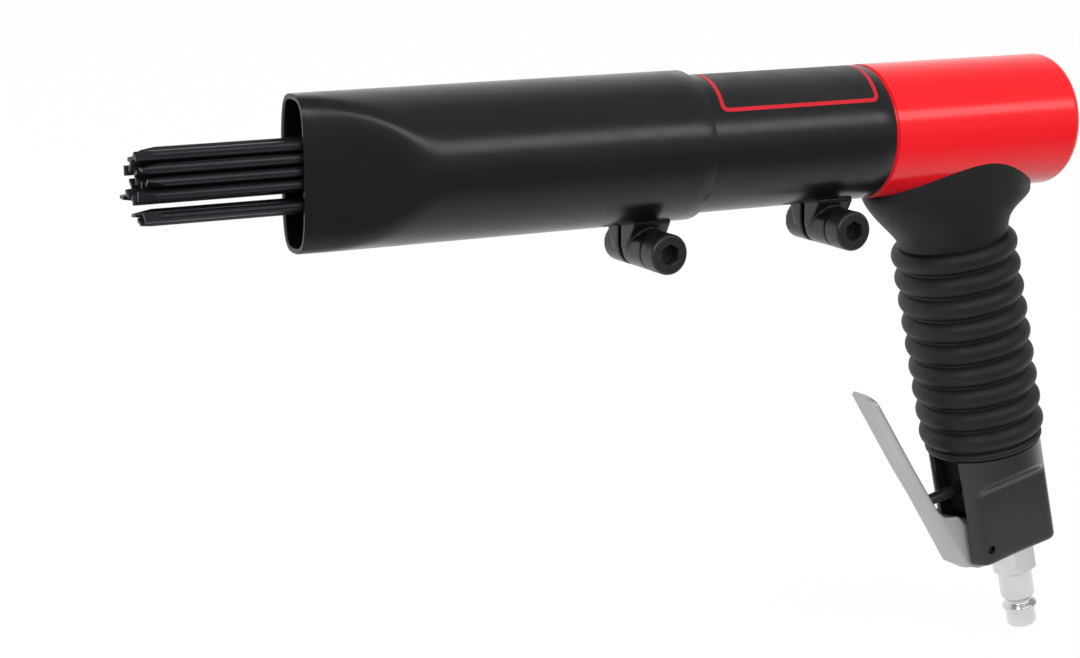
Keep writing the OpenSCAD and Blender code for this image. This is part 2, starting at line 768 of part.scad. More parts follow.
// Bosses and ears of a split clamp, in the frame of its tube at the screw's station
module clamp_bosses(tube_r) {
    drop = tube_r + clamp_drop;
    ear_len = 2 * boss_r * ear_len_share;
    translate([drop, -slit_w / 2 - far_boss_len, 0]) rotate([-90, 0, 0])
        cylinder(r = boss_r, h = far_boss_len + slit_w + near_boss_len);
    // Ears that spread from the bosses up to the tube
    translate([0, 0, -ear_len / 2]) linear_extrude(ear_len) polygon([
        [drop, -boss_r * ear_reach_share], [drop, boss_r * ear_reach_share],
        [tube_r * ear_root_share, boss_r * ear_top_share], [tube_r * ear_root_share,
            -boss_r * ear_top_share]]);
}

// What the clamp takes away: slit and screw hole
module clamp_cuts(tube_r) {
    drop = tube_r + clamp_drop;
    past = boss_r * slit_past_share;
    translate([0, -slit_w / 2, -clamp_setback - over])
        cube([drop + 2 * boss_r, slit_w, clamp_setback + past + over]);
    translate([drop, 0, 0]) rotate([-90, 0, 0]) {
        cylinder(r = screw_r + screw_gap, h = near_boss_len + slit_w + over);
        translate([0, 0, -far_boss_len - slit_w]) cylinder(r = screw_r + seat_gap, h = far_boss_len + slit_w);
    }
}

module clamp_screw(tube_r) {
    under_head = slit_w / 2 + near_boss_len;
    translate([tube_r + clamp_drop, under_head, 0]) rotate([-90, 0, 0]) difference() {
        union() {
            chamfered_rod(head_screw_r, head_screw_len, screw_chamfer);
            translate([0, 0, -under_head - far_boss_len])
                chamfered_rod(screw_r, under_head + far_boss_len + over, screw_chamfer);
        }
        translate([0, 0, head_screw_len - socket_depth]) hexagon(socket_af, socket_depth + over);
    }
}

module mid_tube() {
    color([0.07, 0.07, 0.08]) difference() {
        union() {
            on_barrel(mid_start) cylinder(r = mid_tube_r, h = mid_tube_len);
            on_barrel(mid_start + clamp_setback) clamp_bosses(mid_tube_r);
        }
        on_barrel(mid_start - over) cylinder(r = mid_bore_r, h = mid_tube_len + 2 * over);
        on_barrel(mid_start + clamp_setback) clamp_cuts(mid_tube_r);
    }
}

module rear_clamp_screw() {
    color([0.15, 0.15, 0.16]) on_barrel(mid_start + clamp_setback) clamp_screw(mid_tube_r);
}

// Cross-section of the mouth's loft: a circle pressed between two flats, with soft edges
function mouth_half(x, wall) = let (u = (mouth_x - x) / flat_len)
    mouth_w / 2 - wall + (front_tube_r - mouth_w / 2) * u * (mouth_slope_share + (1 - mouth_slope_share) * u);
function mouth_radius(x, a, r, wall) = let (
    h = mouth_half(x, wall) / max(abs(sin(a)), mouth_least_share),
    pressed = r / pow(1 + pow(r / h, mouth_power), 1 / mouth_power),
    w = ease((x - loft_x) / (flat_len * mouth_blend_share)))
    r + (pressed - r) * w;
function mouth_ring(x, r, wall) = [for (j = [0 : mouth_sides - 1]) let (a = 360 * j / mouth_sides,
    p = mouth_radius(x, a, r, wall)) [p * cos(a), p * sin(a), x]];
module mouth() {
    length = mouth_x - loft_x;
    xs = concat([loft_x - mouth_overlap], [for (i = [0 : mouth_rings]) loft_x + length * i / mouth_rings]);
    n = len(xs);
    outer = [for (x = xs) each mouth_ring(x, front_tube_r - mouth_inset, 0)];
    inner = [for (x = xs) let (u = (x - loft_x) / length)
        each mouth_ring(x, front_bore_r + mouth_inset,
            front_tube_wall + (mouth_wall - front_tube_wall) * max(u, 0))];
    m = n * mouth_sides;
    inside = [for (f = ring_faces(n, mouth_sides)) [f[0] + m, f[2] + m, f[1] + m]];
    front = (n - 1) * mouth_sides;
    caps = [for (j = [0 : mouth_sides - 1]) let (k = (j + 1) % mouth_sides) each [
        [j, m + k, k], [j, m + j, m + k],
        [front + j, front + k, m + front + k], [front + j, m + front + k, m + front + j]]];
    polyhedron(concat(outer, inner), concat(ring_faces(n, mouth_sides), inside, caps));
}

module front_tube() {
    color([0.07, 0.07, 0.08]) {
        difference() {
            union() {
                on_barrel(front_start) cylinder(r = front_tube_r, h = loft_x - front_start);
                on_barrel(front_start + clamp_setback) clamp_bosses(front_tube_r);
            }
            on_barrel(front_start - over) cylinder(r = front_bore_r, h = front_tube_len);
            on_barrel(front_start + clamp_setback) clamp_cuts(front_tube_r);
        }
        on_barrel() mouth();
    }
}

module front_clamp_screw() {
    color([0.15, 0.15, 0.16]) on_barrel(front_start + clamp_setback) clamp_screw(front_tube_r);
}

rear_housing();
grip_sleeve();
handle_base();
lever();
lever_pin();
valve_bush();
stem_seal();
valve_stem();
poppet_seal();
valve_spring();
inlet_plug();
valve_case_rear();
valve_disc();
valve_case_front();
cylinder_liner();  // cylinder
piston();
anvil();
needle_holder();
return_spring();
mid_tube();
rear_clamp_screw();
front_tube();
front_clamp_screw();
for (i = [0 : needle_count - 1]) needle(i);
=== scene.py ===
# Looks of a pistol grip needle scaler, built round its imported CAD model.
# Sizes are written in millimetres and scaled once to metres.
import json
import math

import bmesh
import bpy
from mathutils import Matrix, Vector


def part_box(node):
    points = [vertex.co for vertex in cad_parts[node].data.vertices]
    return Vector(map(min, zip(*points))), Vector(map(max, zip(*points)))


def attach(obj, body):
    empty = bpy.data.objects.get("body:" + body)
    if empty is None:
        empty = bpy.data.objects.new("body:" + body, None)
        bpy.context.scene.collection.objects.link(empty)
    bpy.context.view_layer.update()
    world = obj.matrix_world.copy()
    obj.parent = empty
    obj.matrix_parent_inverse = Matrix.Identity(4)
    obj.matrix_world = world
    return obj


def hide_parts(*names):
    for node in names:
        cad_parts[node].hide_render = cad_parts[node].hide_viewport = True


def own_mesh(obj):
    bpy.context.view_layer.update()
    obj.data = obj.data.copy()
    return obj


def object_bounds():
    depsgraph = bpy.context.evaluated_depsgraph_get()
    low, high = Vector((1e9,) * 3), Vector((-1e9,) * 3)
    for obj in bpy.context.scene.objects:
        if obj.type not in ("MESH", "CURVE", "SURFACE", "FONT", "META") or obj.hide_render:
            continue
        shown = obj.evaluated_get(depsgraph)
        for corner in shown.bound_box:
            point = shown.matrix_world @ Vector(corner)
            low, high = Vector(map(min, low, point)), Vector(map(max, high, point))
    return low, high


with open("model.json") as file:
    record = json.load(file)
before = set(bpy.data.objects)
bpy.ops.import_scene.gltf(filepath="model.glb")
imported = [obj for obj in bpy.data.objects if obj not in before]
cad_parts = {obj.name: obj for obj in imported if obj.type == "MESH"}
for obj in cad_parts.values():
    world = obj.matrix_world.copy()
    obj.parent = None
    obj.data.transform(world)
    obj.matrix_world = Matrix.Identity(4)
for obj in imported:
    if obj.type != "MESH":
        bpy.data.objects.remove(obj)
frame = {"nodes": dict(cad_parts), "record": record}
cad_low, cad_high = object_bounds()
scene = bpy.context.scene

MM = 0.001
LEAN = math.radians(12.6)
HANDLE_LEN = 180.2
PLUG_OFFSET = 4.7
HANDLE_X = 45.0
BARREL_X = HANDLE_LEN * math.sin(LEAN) + PLUG_OFFSET * math.cos(LEAN) - HANDLE_X
BARREL_Z = HANDLE_LEN * math.cos(LEAN) - PLUG_OFFSET * math.sin(LEAN)


# Frames of the barrel and of the handle

def on_barrel(x, y, z):
    """A point at x from the housing's rear face, y to the side and z over the barrel's axis."""
    return Vector((BARREL_X + x, y, BARREL_Z + z)) * MM


def along_barrel(y, z, x):
    """The same point, with the barrel's axis as the third one."""
    return on_barrel(x, y, z)


def on_handle(t, y, h):
    """A point t before the handle's axis, y to the side and h over the plug's shoulder."""
    c, s = math.cos(LEAN), math.sin(LEAN)
    return Vector(((t + PLUG_OFFSET) * c + h * s, y, h * c - (t + PLUG_OFFSET) * s)) * MM


def along_plug(t, y, h):
    """A point t before the plug's axis, y to the side and h over its shoulder."""
    return on_handle(t - PLUG_OFFSET, y, h)


# Materials

NOISE_RANGE = (0.3, 0.7)
TINT_DETAIL = 5.0
PATCH_DETAIL = 6.0
PATCH_RATIO = 3.1
GRAIN_DETAIL = 3.0
EDGE_SAMPLES = 6


def add(tree, kind, at, **sockets):
    """A new node, with the values of the sockets that are named."""
    node = tree.nodes.new(kind)
    node.location = at
    for key, value in sockets.items():
        node.inputs[key].default_value = value
    return node


def noise_of(tree, coords, scale, detail, at, stretch=(1, 1, 1)):
    mapping = add(tree, "ShaderNodeMapping", (at[0] - 200, at[1]), Scale=stretch)
    tree.links.new(coords, mapping.inputs["Vector"])
    noise = add(tree, "ShaderNodeTexNoise", at, Scale=scale, Detail=detail)
    tree.links.new(mapping.outputs["Vector"], noise.inputs["Vector"])
    return noise.outputs["Fac"]


def ranged(tree, value, source, target, at, kind="LINEAR"):
    """A value moved from one range to another."""
    node = add(tree, "ShaderNodeMapRange", at)
    node.interpolation_type = kind
    for key, number in zip(("From Min", "From Max", "To Min", "To Max"), (*source, *target)):
        node.inputs[key].default_value = number
    tree.links.new(value, node.inputs["Value"])
    return node.outputs["Result"]


def calc(tree, operation, at, *terms):
    """A math node on two terms, each a socket or a number."""
    node = add(tree, "ShaderNodeMath", at)
    node.operation = operation
    for socket, term in zip(node.inputs, terms):
        if isinstance(term, float):
            socket.default_value = term
        else:
            tree.links.new(term, socket)
    return node.outputs[0]


def finish_of(name, dark, light, rough, metal=0.0, coat=0.0, coat_rough=0.1, tint_scale=60.0,
              grain=900.0, bump=0.1, depth=0.05, edge=0.0, stretch=(1, 1, 1), specular=0.5):
    """A procedural finish: a drifting tint, uneven roughness, a fine grain and softened edges."""
    material = bpy.data.materials.new(name)
    material.use_nodes = True
    tree = material.node_tree
    shader = tree.nodes["Principled BSDF"]
    coords = add(tree, "ShaderNodeTexCoord", (-1200, 0)).outputs["Object"]
    tint = noise_of(tree, coords, tint_scale, TINT_DETAIL, (-800, 300), stretch)
    mix = add(tree, "ShaderNodeMix", (-400, 300))
    mix.data_type = "RGBA"
    mix.inputs["A"].default_value = (*dark, 1)
    mix.inputs["B"].default_value = (*light, 1)
    share = ranged(tree, tint, NOISE_RANGE, (0.0, 1.0), (-600, 300))
    tree.links.new(share, mix.inputs["Factor"])
    tree.links.new(mix.outputs["Result"], shader.inputs["Base Color"])
    patch = noise_of(tree, coords, tint_scale * PATCH_RATIO, PATCH_DETAIL, (-800, 0), stretch)
    tree.links.new(ranged(tree, patch, NOISE_RANGE, rough, (-600, 0)), shader.inputs["Roughness"])
    fine = noise_of(tree, coords, grain, GRAIN_DETAIL, (-800, -300), stretch)
    relief = add(tree, "ShaderNodeBump", (-400, -300), Strength=bump, Distance=depth * MM)
    tree.links.new(fine, relief.inputs["Height"])
    if edge:
        bevel = add(tree, "ShaderNodeBevel", (-600, -500), Radius=edge * MM)
        bevel.samples = EDGE_SAMPLES
        tree.links.new(bevel.outputs["Normal"], relief.inputs["Normal"])
    tree.links.new(relief.outputs["Normal"], shader.inputs["Normal"])
    shader.inputs["Metallic"].default_value = metal
    shader.inputs["Coat Weight"].default_value = coat
    shader.inputs["Coat Roughness"].default_value = coat_rough
    shader.inputs["Specular IOR Level"].default_value = specular
    return material


materials = {
    "red_paint": finish_of(
        "red_paint", (0.95, 0.004, 0.012), (1.0, 0.005, 0.015), (0.18, 0.25), coat=0.2, coat_rough=0.08,
        tint_scale=25, grain=1400, bump=0.05, depth=0.03, edge=0.6, specular=0.35),
    "black_paint": finish_of(
        "black_paint", (0.006, 0.0058, 0.006), (0.009, 0.0085, 0.0088), (0.22, 0.29),
        tint_scale=40, grain=1600, bump=0.03, depth=0.02, specular=0.42),
    "black_base": finish_of(
        "black_base", (0.011, 0.011, 0.0125), (0.015, 0.015, 0.017), (0.24, 0.32), coat=0.2, coat_rough=0.15,
        tint_scale=50, grain=1500, bump=0.06, depth=0.03),
    "grip_rubber": finish_of(
        "grip_rubber", (0.006, 0.006, 0.007), (0.009, 0.009, 0.0102), (0.48, 0.6),
        tint_scale=45, grain=2200, bump=0.14, depth=0.04, specular=0.4),
    "zinc_steel": finish_of(
        "zinc_steel", (0.46, 0.447, 0.445), (0.55, 0.537, 0.535), (0.4, 0.5), metal=0.7,
        tint_scale=30, grain=1500, bump=0.05, depth=0.02, stretch=(1, 3, 0.35)),
    "plated_steel": finish_of(
        "plated_steel", (0.62, 0.62, 0.625), (0.74, 0.74, 0.745), (0.14, 0.22), metal=1.0,
        tint_scale=80, grain=1800, bump=0.04, depth=0.02),
    "black_oxide": finish_of(
        "black_oxide", (0.01, 0.01, 0.011), (0.017, 0.017, 0.018), (0.3, 0.42),
        tint_scale=120, grain=1800, bump=0.1, depth=0.03),
    "needle_steel": finish_of(
        "needle_steel", (0.022, 0.024, 0.029), (0.045, 0.048, 0.056), (0.3, 0.42), metal=0.7,
        tint_scale=90, grain=1500, bump=0.12, depth=0.04, edge=0.15, stretch=(0.15, 1, 1)),
    "machined_steel": finish_of(
        "machined_steel", (0.42, 0.42, 0.43), (0.54, 0.54, 0.55), (0.25, 0.35), metal=1.0,
        tint_scale=60, grain=1200, bump=0.06, depth=0.02, edge=0.2),
    "spring_steel": finish_of(
        "spring_steel", (0.36, 0.36, 0.37), (0.48, 0.48, 0.49), (0.3, 0.4), metal=1.0,
        tint_scale=90, grain=1500, bump=0.05, depth=0.02),
    "seal_rubber": finish_of(
        "seal_rubber", (0.011, 0.011, 0.011), (0.016, 0.016, 0.016), (0.5, 0.6),
        tint_scale=90, grain=2000, bump=0.1, depth=0.03)}
# A darker, matte black put into the lever's slot and onto the valve bush as painted shade of the recess
slot_painted_shade = finish_of(
    "slot_painted_shade", (0.003, 0.003, 0.0034), (0.0045, 0.0045, 0.005), (0.6, 0.7),
    tint_scale=60, grain=1800, bump=0.1, depth=0.03, specular=0.12)
label_black = finish_of(
    "label_black", (0.012, 0.012, 0.012), (0.017, 0.017, 0.017), (0.34, 0.42),
    tint_scale=60, grain=1800, bump=0.05, depth=0.02, specular=0.35)
label_red = finish_of(
    "label_red", (0.62, 0.008, 0.02), (0.7, 0.012, 0.026), (0.4, 0.48),
    tint_scale=80, grain=1800, bump=0.04, depth=0.02, specular=0.3)

for sub in frame["record"]["subparts"]:
    node_looks = frame["nodes"][sub["node"]].data.materials
    node_looks.clear()
    node_looks.append(materials[sub["material_slot"]])

# Mesh helpers

WELD = 0.000003
FLAT_ANGLE = 0.4
SHARP_ANGLE = 38


def put(mesh, name, body, slot, nodes=(), angle=35.0):
    """Makes an object of a mesh, shades it, and hangs it on a CAD body."""
    mesh.name = name
    mesh.shade_smooth()
    mesh.set_sharp_from_angle(angle=math.radians(angle))
    obj = bpy.data.objects.new(name, mesh)
    scene.collection.objects.link(obj)
    if not mesh.materials:
        mesh.materials.append(materials[slot])
    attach(obj, body)
    if nodes:
        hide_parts(*nodes)
    return obj


def mesh_of(name, points, faces):
    mesh = bpy.data.meshes.new(name)
    mesh.from_pydata([tuple(p) for p in points], [], faces)
    mesh.validate()
    return mesh


def baked(mesh, *steps):
    """The mesh after modifiers; each step is a modifier type and its settings."""
    obj = bpy.data.objects.new("scratch", mesh)
    scene.collection.objects.link(obj)
    for kind, settings in steps:
        modifier = obj.modifiers.new(kind.lower(), kind)
        for key, value in settings.items():
            setattr(modifier, key, value)
    bpy.context.view_layer.update()
    shaped = obj.evaluated_get(bpy.context.evaluated_depsgraph_get())
    result = bpy.data.meshes.new_from_object(shaped)
    bpy.data.objects.remove(obj)
    return result


def cut_by(mesh, cutters):
    """The mesh with each cutter mesh taken away."""
    for cutter in cutters:
        tool = bpy.data.objects.new("tool", cutter)
        scene.collection.objects.link(tool)
        mesh = baked(mesh, ("BOOLEAN", {"operation": "DIFFERENCE", "solver": "EXACT", "object": tool}))
        bpy.data.objects.remove(tool)
    return mesh


def joined(name, meshes):
    """One mesh of several."""
    whole = bmesh.new()
    for mesh in meshes:
        whole.from_mesh(mesh)
    result = bpy.data.meshes.new(name)
    whole.to_mesh(result)
    whole.free()
    return result


def outward(mesh):
    """The mesh with all its faces turned outward."""
    shape = bmesh.new()
    shape.from_mesh(mesh)
    bmesh.ops.recalc_face_normals(shape, faces=shape.faces)
    shape.to_mesh(mesh)
    shape.free()
    return mesh


def loft(rings, closed_ends=True):
    """Points and faces through rings with the same number of points each, outward for rising rings."""
    sides = len(rings[0])
    points = [p for ring in rings for p in ring]
    faces = []
    for i in range(len(rings) - 1):
        for j in range(sides):
            k = (j + 1) % sides
            faces.append((i * sides + j, i * sides + k, (i + 1) * sides + k, (i + 1) * sides + j))
    if closed_ends:
        faces.append(tuple(range(sides - 1, -1, -1)))
        last = (len(rings) - 1) * sides
        faces.append(tuple(range(last, last + sides)))
    return points, faces


def rod(place, radius, start, end, sides):
    """A closed cylinder along the third axis of a frame."""
    turns = [2 * math.pi * j / sides for j in range(sides)]
    return mesh_of("rod", *loft([[place(radius * math.cos(a), radius * math.sin(a), h) for a in turns]
                                 for h in (start, end)]))


def softened(node, width, segments=2):
    """A copy of a CAD node's mesh with its sharp edges rounded."""
    shape = bmesh.new()
    shape.from_mesh(frame["nodes"][node].data)
    bmesh.ops.remove_doubles(shape, verts=shape.verts, dist=WELD)
    bmesh.ops.dissolve_limit(shape, angle_limit=math.radians(FLAT_ANGLE), verts=shape.verts,
                             edges=shape.edges)
    copy = bpy.data.meshes.new(node)
    shape.to_mesh(copy)
    shape.free()
    copy.materials.clear()
    copy.shade_smooth()
    return baked(copy,
                 ("BEVEL", {"width": width * MM, "segments": segments, "limit_method": "ANGLE",
                            "angle_limit": math.radians(SHARP_ANGLE), "use_clamp_overlap": True}),
                 ("WEIGHTED_NORMAL", {"keep_sharp": False}))


def ease(v):
    """A smooth step from 0 to 1."""
    v = min(max(v, 0.0), 1.0)
    return v * v * (3 - 2 * v)


# Grip: ribs, end lip and the saddle under the barrel as one rubber skin

HOUSING_R = 22.2
HOUSING_LEN = 76.3
HOUSING_PAST = 5
CORE_R = 15.0
CORE_PAST = 2
SLEEVE_FIT = 0.02
RIB_R = 21.6
RIB_PITCH = 8.1
RIB_COUNT = 9
RIB_FIRST = 136.9
RIB_BULGE = 4.1
GROOVE_R = 19.2
LIP_R = 20.3
LIP_BULGE = 1.45
LIP_H = 66.75
SADDLE_FRONT = 36.2
SADDLE_FRONT_BLEND = 1.05
SADDLE_FRONT_POINT = 1.12
SADDLE_REAR = 28.8
SADDLE_REAR_BLEND = 1.8
SADDLE_SIDE = 19.3
SADDLE_NECK = 18.6
SADDLE_FOOT_SHARE = 0.78
SADDLE_FOOT = RIB_FIRST + RIB_BULGE * SADDLE_FOOT_SHARE
SADDLE_RISE = (HANDLE_LEN - SADDLE_FOOT) * math.cos(LEAN) - HOUSING_R
SADDLE_LIP = 12.5
GRIP_SIDES = 144
BULGE_STEPS = 12
SADDLE_LEVELS = 36
HOUSING_SIDES = 360
CORE_SIDES = 96
GRIP_TURNS = [2 * math.pi * j / GRIP_SIDES for j in range(GRIP_SIDES)]


def bulge_rings(h, r, bulge, start, end):
    """Rings over a round bulge of the grip, from one angle of its section to another."""
    rings = []
    for k in range(BULGE_STEPS + 1):
        a = start + (end - start) * k / BULGE_STEPS
        radius = r - bulge + bulge * math.cos(a)
        rings.append([on_handle(radius * math.cos(t), radius * math.sin(t), h + bulge * math.sin(a))
                      for t in GRIP_TURNS])
    return rings


def saddle_ring(z):
    """A ring of the saddle at a height over its foot, level at the top and square to the handle below."""
    foot = on_handle(0, 0, SADDLE_FOOT)
    share = z / SADDLE_RISE
    tilt = math.tan(LEAN) * (1 - ease(share))
    side = SADDLE_NECK + (SADDLE_SIDE - SADDLE_NECK) * ease(share)
    front = SADDLE_NECK + (SADDLE_FRONT - SADDLE_NECK) * ease(share ** SADDLE_FRONT_BLEND)
    rear = SADDLE_NECK + (SADDLE_REAR - SADDLE_NECK) * ease(share ** SADDLE_REAR_BLEND)
    ring = []
    for t in GRIP_TURNS:
        c = math.cos(t)
        x = front * c ** SADDLE_FRONT_POINT if c > 0 else rear * c
        ring.append(foot + Vector((x * math.cos(LEAN) if z == 0 else x, side * math.sin(t),
                                   z - x * (math.sin(LEAN) if z == 0 else tilt))) * MM)
    return ring


rib_edge = math.acos((GROOVE_R - RIB_R + RIB_BULGE) / RIB_BULGE)
lip_edge = math.acos((GROOVE_R - LIP_R + LIP_BULGE) / LIP_BULGE)
grip_rings = bulge_rings(LIP_H, LIP_R, LIP_BULGE, -math.pi / 2, lip_edge)
for i in range(RIB_COUNT - 1, -1, -1):
    top = math.asin(SADDLE_FOOT_SHARE) if i == 0 else rib_edge
    grip_rings += bulge_rings(RIB_FIRST - i * RIB_PITCH, RIB_R, RIB_BULGE, -rib_edge, top)
grip_rings += [saddle_ring(SADDLE_RISE * i / SADDLE_LEVELS) for i in range(SADDLE_LEVELS + 1)]
grip_rings.append(saddle_ring(SADDLE_RISE + SADDLE_LIP))
grip_mesh = cut_by(mesh_of("grip", *loft(grip_rings)), [
    rod(along_barrel, HOUSING_R + SLEEVE_FIT, -HOUSING_PAST, HOUSING_LEN + HOUSING_PAST, HOUSING_SIDES),
    rod(on_handle, CORE_R + SLEEVE_FIT, LIP_H - LIP_BULGE - CORE_PAST, HANDLE_LEN, CORE_SIDES)])
put(grip_mesh, "grip_rubber", "housing", "grip_rubber", ["grip_sleeve"], 50)

# Tubes: rolled sheet with a slit under the clamp, and a pressed mouth on the front one

MID_R = 22.0
MID_WALL = 2.0
MID_START = 76.6
MID_LEN = 109.0
MID_SIDES = 256
FRONT_R = 23.8
FRONT_WALL = 1.7
FRONT_START = 146.1
FRONT_SIDES = 384
MOUTH_X = 279.1
FLAT_LEN = 33.0
MOUTH_W = 17.2
MOUTH_POWER = 16.0
MOUTH_END_POWER = 4.2
MOUTH_SLOPE_SHARE = 0.58
MOUTH_BLEND_SHARE = 0.3
MOUTH_STEPS = 96
LOFT_X = MOUTH_X - FLAT_LEN * (1 + MOUTH_BLEND_SHARE)
TUBE_STEPS = 4
TUBE_EDGE = 0.35
TUBE_EDGE_ANGLE = 60
SLIT_W = 1.8
CLAMP_SETBACK = 14.8
CLAMP_DROP = 7.3
CLAMP_EDGE = 6
BOSS_R = 6.4
BOSS_SIDES = 64
SLIT_PAST = CLAMP_SETBACK + BOSS_R * 1.7
NEAR_BOSS_END = 12.1
FAR_BOSS_END = -10.5
EAR_HALF_LEN = BOSS_R * 1.05
EAR_FOOT = BOSS_R * 0.62
EAR_ROOT = BOSS_R * 1.42
EAR_BEND_SHARE = 0.97
EAR_TOP_SHARE = 0.9
EAR_VOXEL = 0.4
EAR_SOFTENING = {"factor": 0.5, "iterations": 4}
TINY = 0.001


def mouth_radius(x, a, r):
    """The front tube's radius, pressed flat on both sides towards the mouth."""
    u = (MOUTH_X - x) / FLAT_LEN
    half = MOUTH_W / 2 + (r - MOUTH_W / 2) * u * (MOUTH_SLOPE_SHARE + (1 - MOUTH_SLOPE_SHARE) * u)
    h = half / max(abs(math.cos(a)), TINY)
    power = MOUTH_POWER + (MOUTH_END_POWER - MOUTH_POWER) * ease(1 - min(max(u, 0), 1))
    pressed = r / (1 + (r / h) ** power) ** (1 / power)
    return r + (pressed - r) * ease((x - LOFT_X) / (FLAT_LEN * MOUTH_BLEND_SHARE))


def straight(x, a, r):
    """The mid tube's radius, the same all over."""
    return r


def split_tube(name, radius, wall, stations, slit_end, sides, shape):
    """A rolled tube whose lowest strip is slit open up to slit_end."""
    gap = math.asin(SLIT_W / 2 / radius)
    turns = [-math.pi / 2 + gap + (2 * math.pi - 2 * gap) * j / sides for j in range(sides + 1)]
    points = []
    faces = []
    for x in stations:
        for a in turns:
            r = shape(x, a, radius)
            points.append(on_barrel(x, r * math.cos(a), r * math.sin(a)))
    row = sides + 1
    for i in range(len(stations) - 1):
        for j in range(row):
            if j == sides and stations[i] < slit_end:
                continue
            k = (j + 1) % row
            faces.append((i * row + j, i * row + k, (i + 1) * row + k, (i + 1) * row + j))
    sheet = mesh_of(name, points, faces)
    return baked(sheet, ("SOLIDIFY", {"thickness": wall * MM, "offset": -1.0, "use_even_offset": True}),
                 ("BEVEL", {"width": TUBE_EDGE * MM, "segments": 2, "limit_method": "ANGLE",
                            "angle_limit": math.radians(TUBE_EDGE_ANGLE), "use_clamp_overlap": True}))


def lug(station, radius):
    """Both ears of a clamp with their bosses, melted together and softened."""
    drop = radius + CLAMP_DROP
    bend = radius * EAR_BEND_SHARE
    top = radius * EAR_TOP_SHARE
    parts = []
    for side, low, high in ((-1, FAR_BOSS_END, -SLIT_W / 2), (1, SLIT_W / 2, NEAR_BOSS_END)):
        inner = side * SLIT_W / 2
        section = [(-drop, inner), (-drop, side * EAR_FOOT), (-bend, side * EAR_ROOT),
                   (-top, side * EAR_ROOT), (-top, inner)]
        rings = [[on_barrel(station + x, y, z) for z, y in section] for x in (-EAR_HALF_LEN, EAR_HALF_LEN)]
        web = mesh_of("web", *loft(rings))
        boss = rod(lambda a, b, y: on_barrel(station + a, y, b - drop), BOSS_R, low, high, BOSS_SIDES)
        solid = outward(joined("ear", [web, boss]))
        parts.append(baked(solid, ("REMESH", {"mode": "VOXEL", "voxel_size": EAR_VOXEL * MM}),
                           ("SMOOTH", EAR_SOFTENING)))
    return parts


def clamp_stations(start, end):
    """Places along a tube for its rings: the clamp's edge, the slit's end and the plain rest."""
    rest = [start + SLIT_PAST + (end - start - SLIT_PAST) * i / TUBE_STEPS for i in range(1, TUBE_STEPS + 1)]
    return [start, start + CLAMP_EDGE, start + SLIT_PAST] + rest


mid_stations = clamp_stations(MID_START, MID_START + MID_LEN)
mid_mesh = split_tube("mid", MID_R, MID_WALL, mid_stations, MID_START + SLIT_PAST, MID_SIDES, straight)
put(joined("mid_tube", [mid_mesh] + lug(MID_START + CLAMP_SETBACK, MID_R)), "mid_tube_skin", "barrel",
    "black_paint", ["mid_tube"], 40)

front_stations = clamp_stations(FRONT_START, LOFT_X)
front_stations += [LOFT_X + (MOUTH_X - LOFT_X) * i / MOUTH_STEPS for i in range(1, MOUTH_STEPS + 1)]
front_mesh = split_tube("front", FRONT_R, FRONT_WALL, front_stations, FRONT_START + SLIT_PAST, FRONT_SIDES,
                        mouth_radius)
put(joined("front_tube", [front_mesh] + lug(FRONT_START + CLAMP_SETBACK, FRONT_R)), "nozzle_skin", "nozzle",
    "black_paint", ["front_tube"], 40)

# Handle base: a round block with two soft-edged flats that run out under the grip, and the lever's slot

BASE_R = 19.5
BASE_BOTTOM = 25.6
BASE_TOP = 65.0
BASE_ROUND = 2.0
BASE_FLAT = 12.5
BASE_PAST = 1
FLAT_END = 51.3
FLAT_RUN = 6.35
ARCH_LOW = 48.0
ARCH_HIGH = 60.0
CORNER_POWER = 30.0
BASE_SIDES = 480
ROUND_ROWS = 8
LOW_ROWS = 12
ARCH_ROWS = 120
TOP_ROWS = 4
PIVOT_T = 12.2
PIVOT_H = 31.3
PIN_R = 1.5
PIN_REACH = 20
PIN_SIDES = 48
STEM_H = 52.2
SLOT_HALF = 7.1
SLOT_BACK = 13.5
SLOT_DEEP = 4.7
SLOT_KNEE = 43.5
SLOT_ROUND = 1.5
SLOT_ROUND_STEPS = 10
SLOT_TIP = 0.15
PAINTED_SHADE_FACING = 0.9
PAINTED_SHADE_MARGIN = 0.1
CHAMBER_END = -13.8
CHAMBER_R = 5.0
BUSH_IN = 4.6
BUSH_R = 5.8
BUSH_SIDES = 96
PASSAGE_R = 4.2
PASSAGE_SIDES = 48
THREAD_R = 6.4
THREAD_LEN = 11.0
PLUG_BORE_R = 3.4
BORE_SIDES = 64
CORE_SEAT_R = 9.0
CORE_SEAT_LEN = 2.6
SEAT_FIT = 0.03
END_FIT = 0.02


def base_radius(h, a):
    """The base's radius at a height and an angle, with soft corners between its flats and its round."""
    flat = BASE_FLAT + (BASE_R - BASE_FLAT) * (max(h - FLAT_END, 0) / FLAT_RUN) ** 2
    side = flat / max(abs(math.sin(a)), TINY)
    return (BASE_R ** -CORNER_POWER + side ** -CORNER_POWER) ** (-1 / CORNER_POWER)


def base_ring(h, inset):
    ring = []
    for j in range(BASE_SIDES):
        a = 2 * math.pi * j / BASE_SIDES
        r = base_radius(h, a) - inset
        ring.append(on_handle(r * math.cos(a), r * math.sin(a), h))
    return ring


def slot_section():
    """The lever's slot seen along the handle, with rounded front edges."""
    edge_y = SLOT_HALF + SLOT_ROUND
    edge_x = math.sqrt(BASE_R ** 2 - edge_y ** 2) - SLOT_ROUND + SLOT_TIP
    turns = [math.radians(90 * k / SLOT_ROUND_STEPS - 90) for k in range(SLOT_ROUND_STEPS + 1)]
    edge = [(edge_x + SLOT_ROUND * math.cos(a), edge_y + SLOT_ROUND * math.sin(a)) for a in turns]
    upper = [(SLOT_BACK, SLOT_HALF)] + edge + [(2 * BASE_R, edge_y)]
    return [(t, -y) for t, y in upper] + upper[::-1]


def along_stem(y, h, t):
    """A point y to the side and h over the stem's axis, t before the handle's axis."""
    return on_handle(t, y, STEM_H + h)


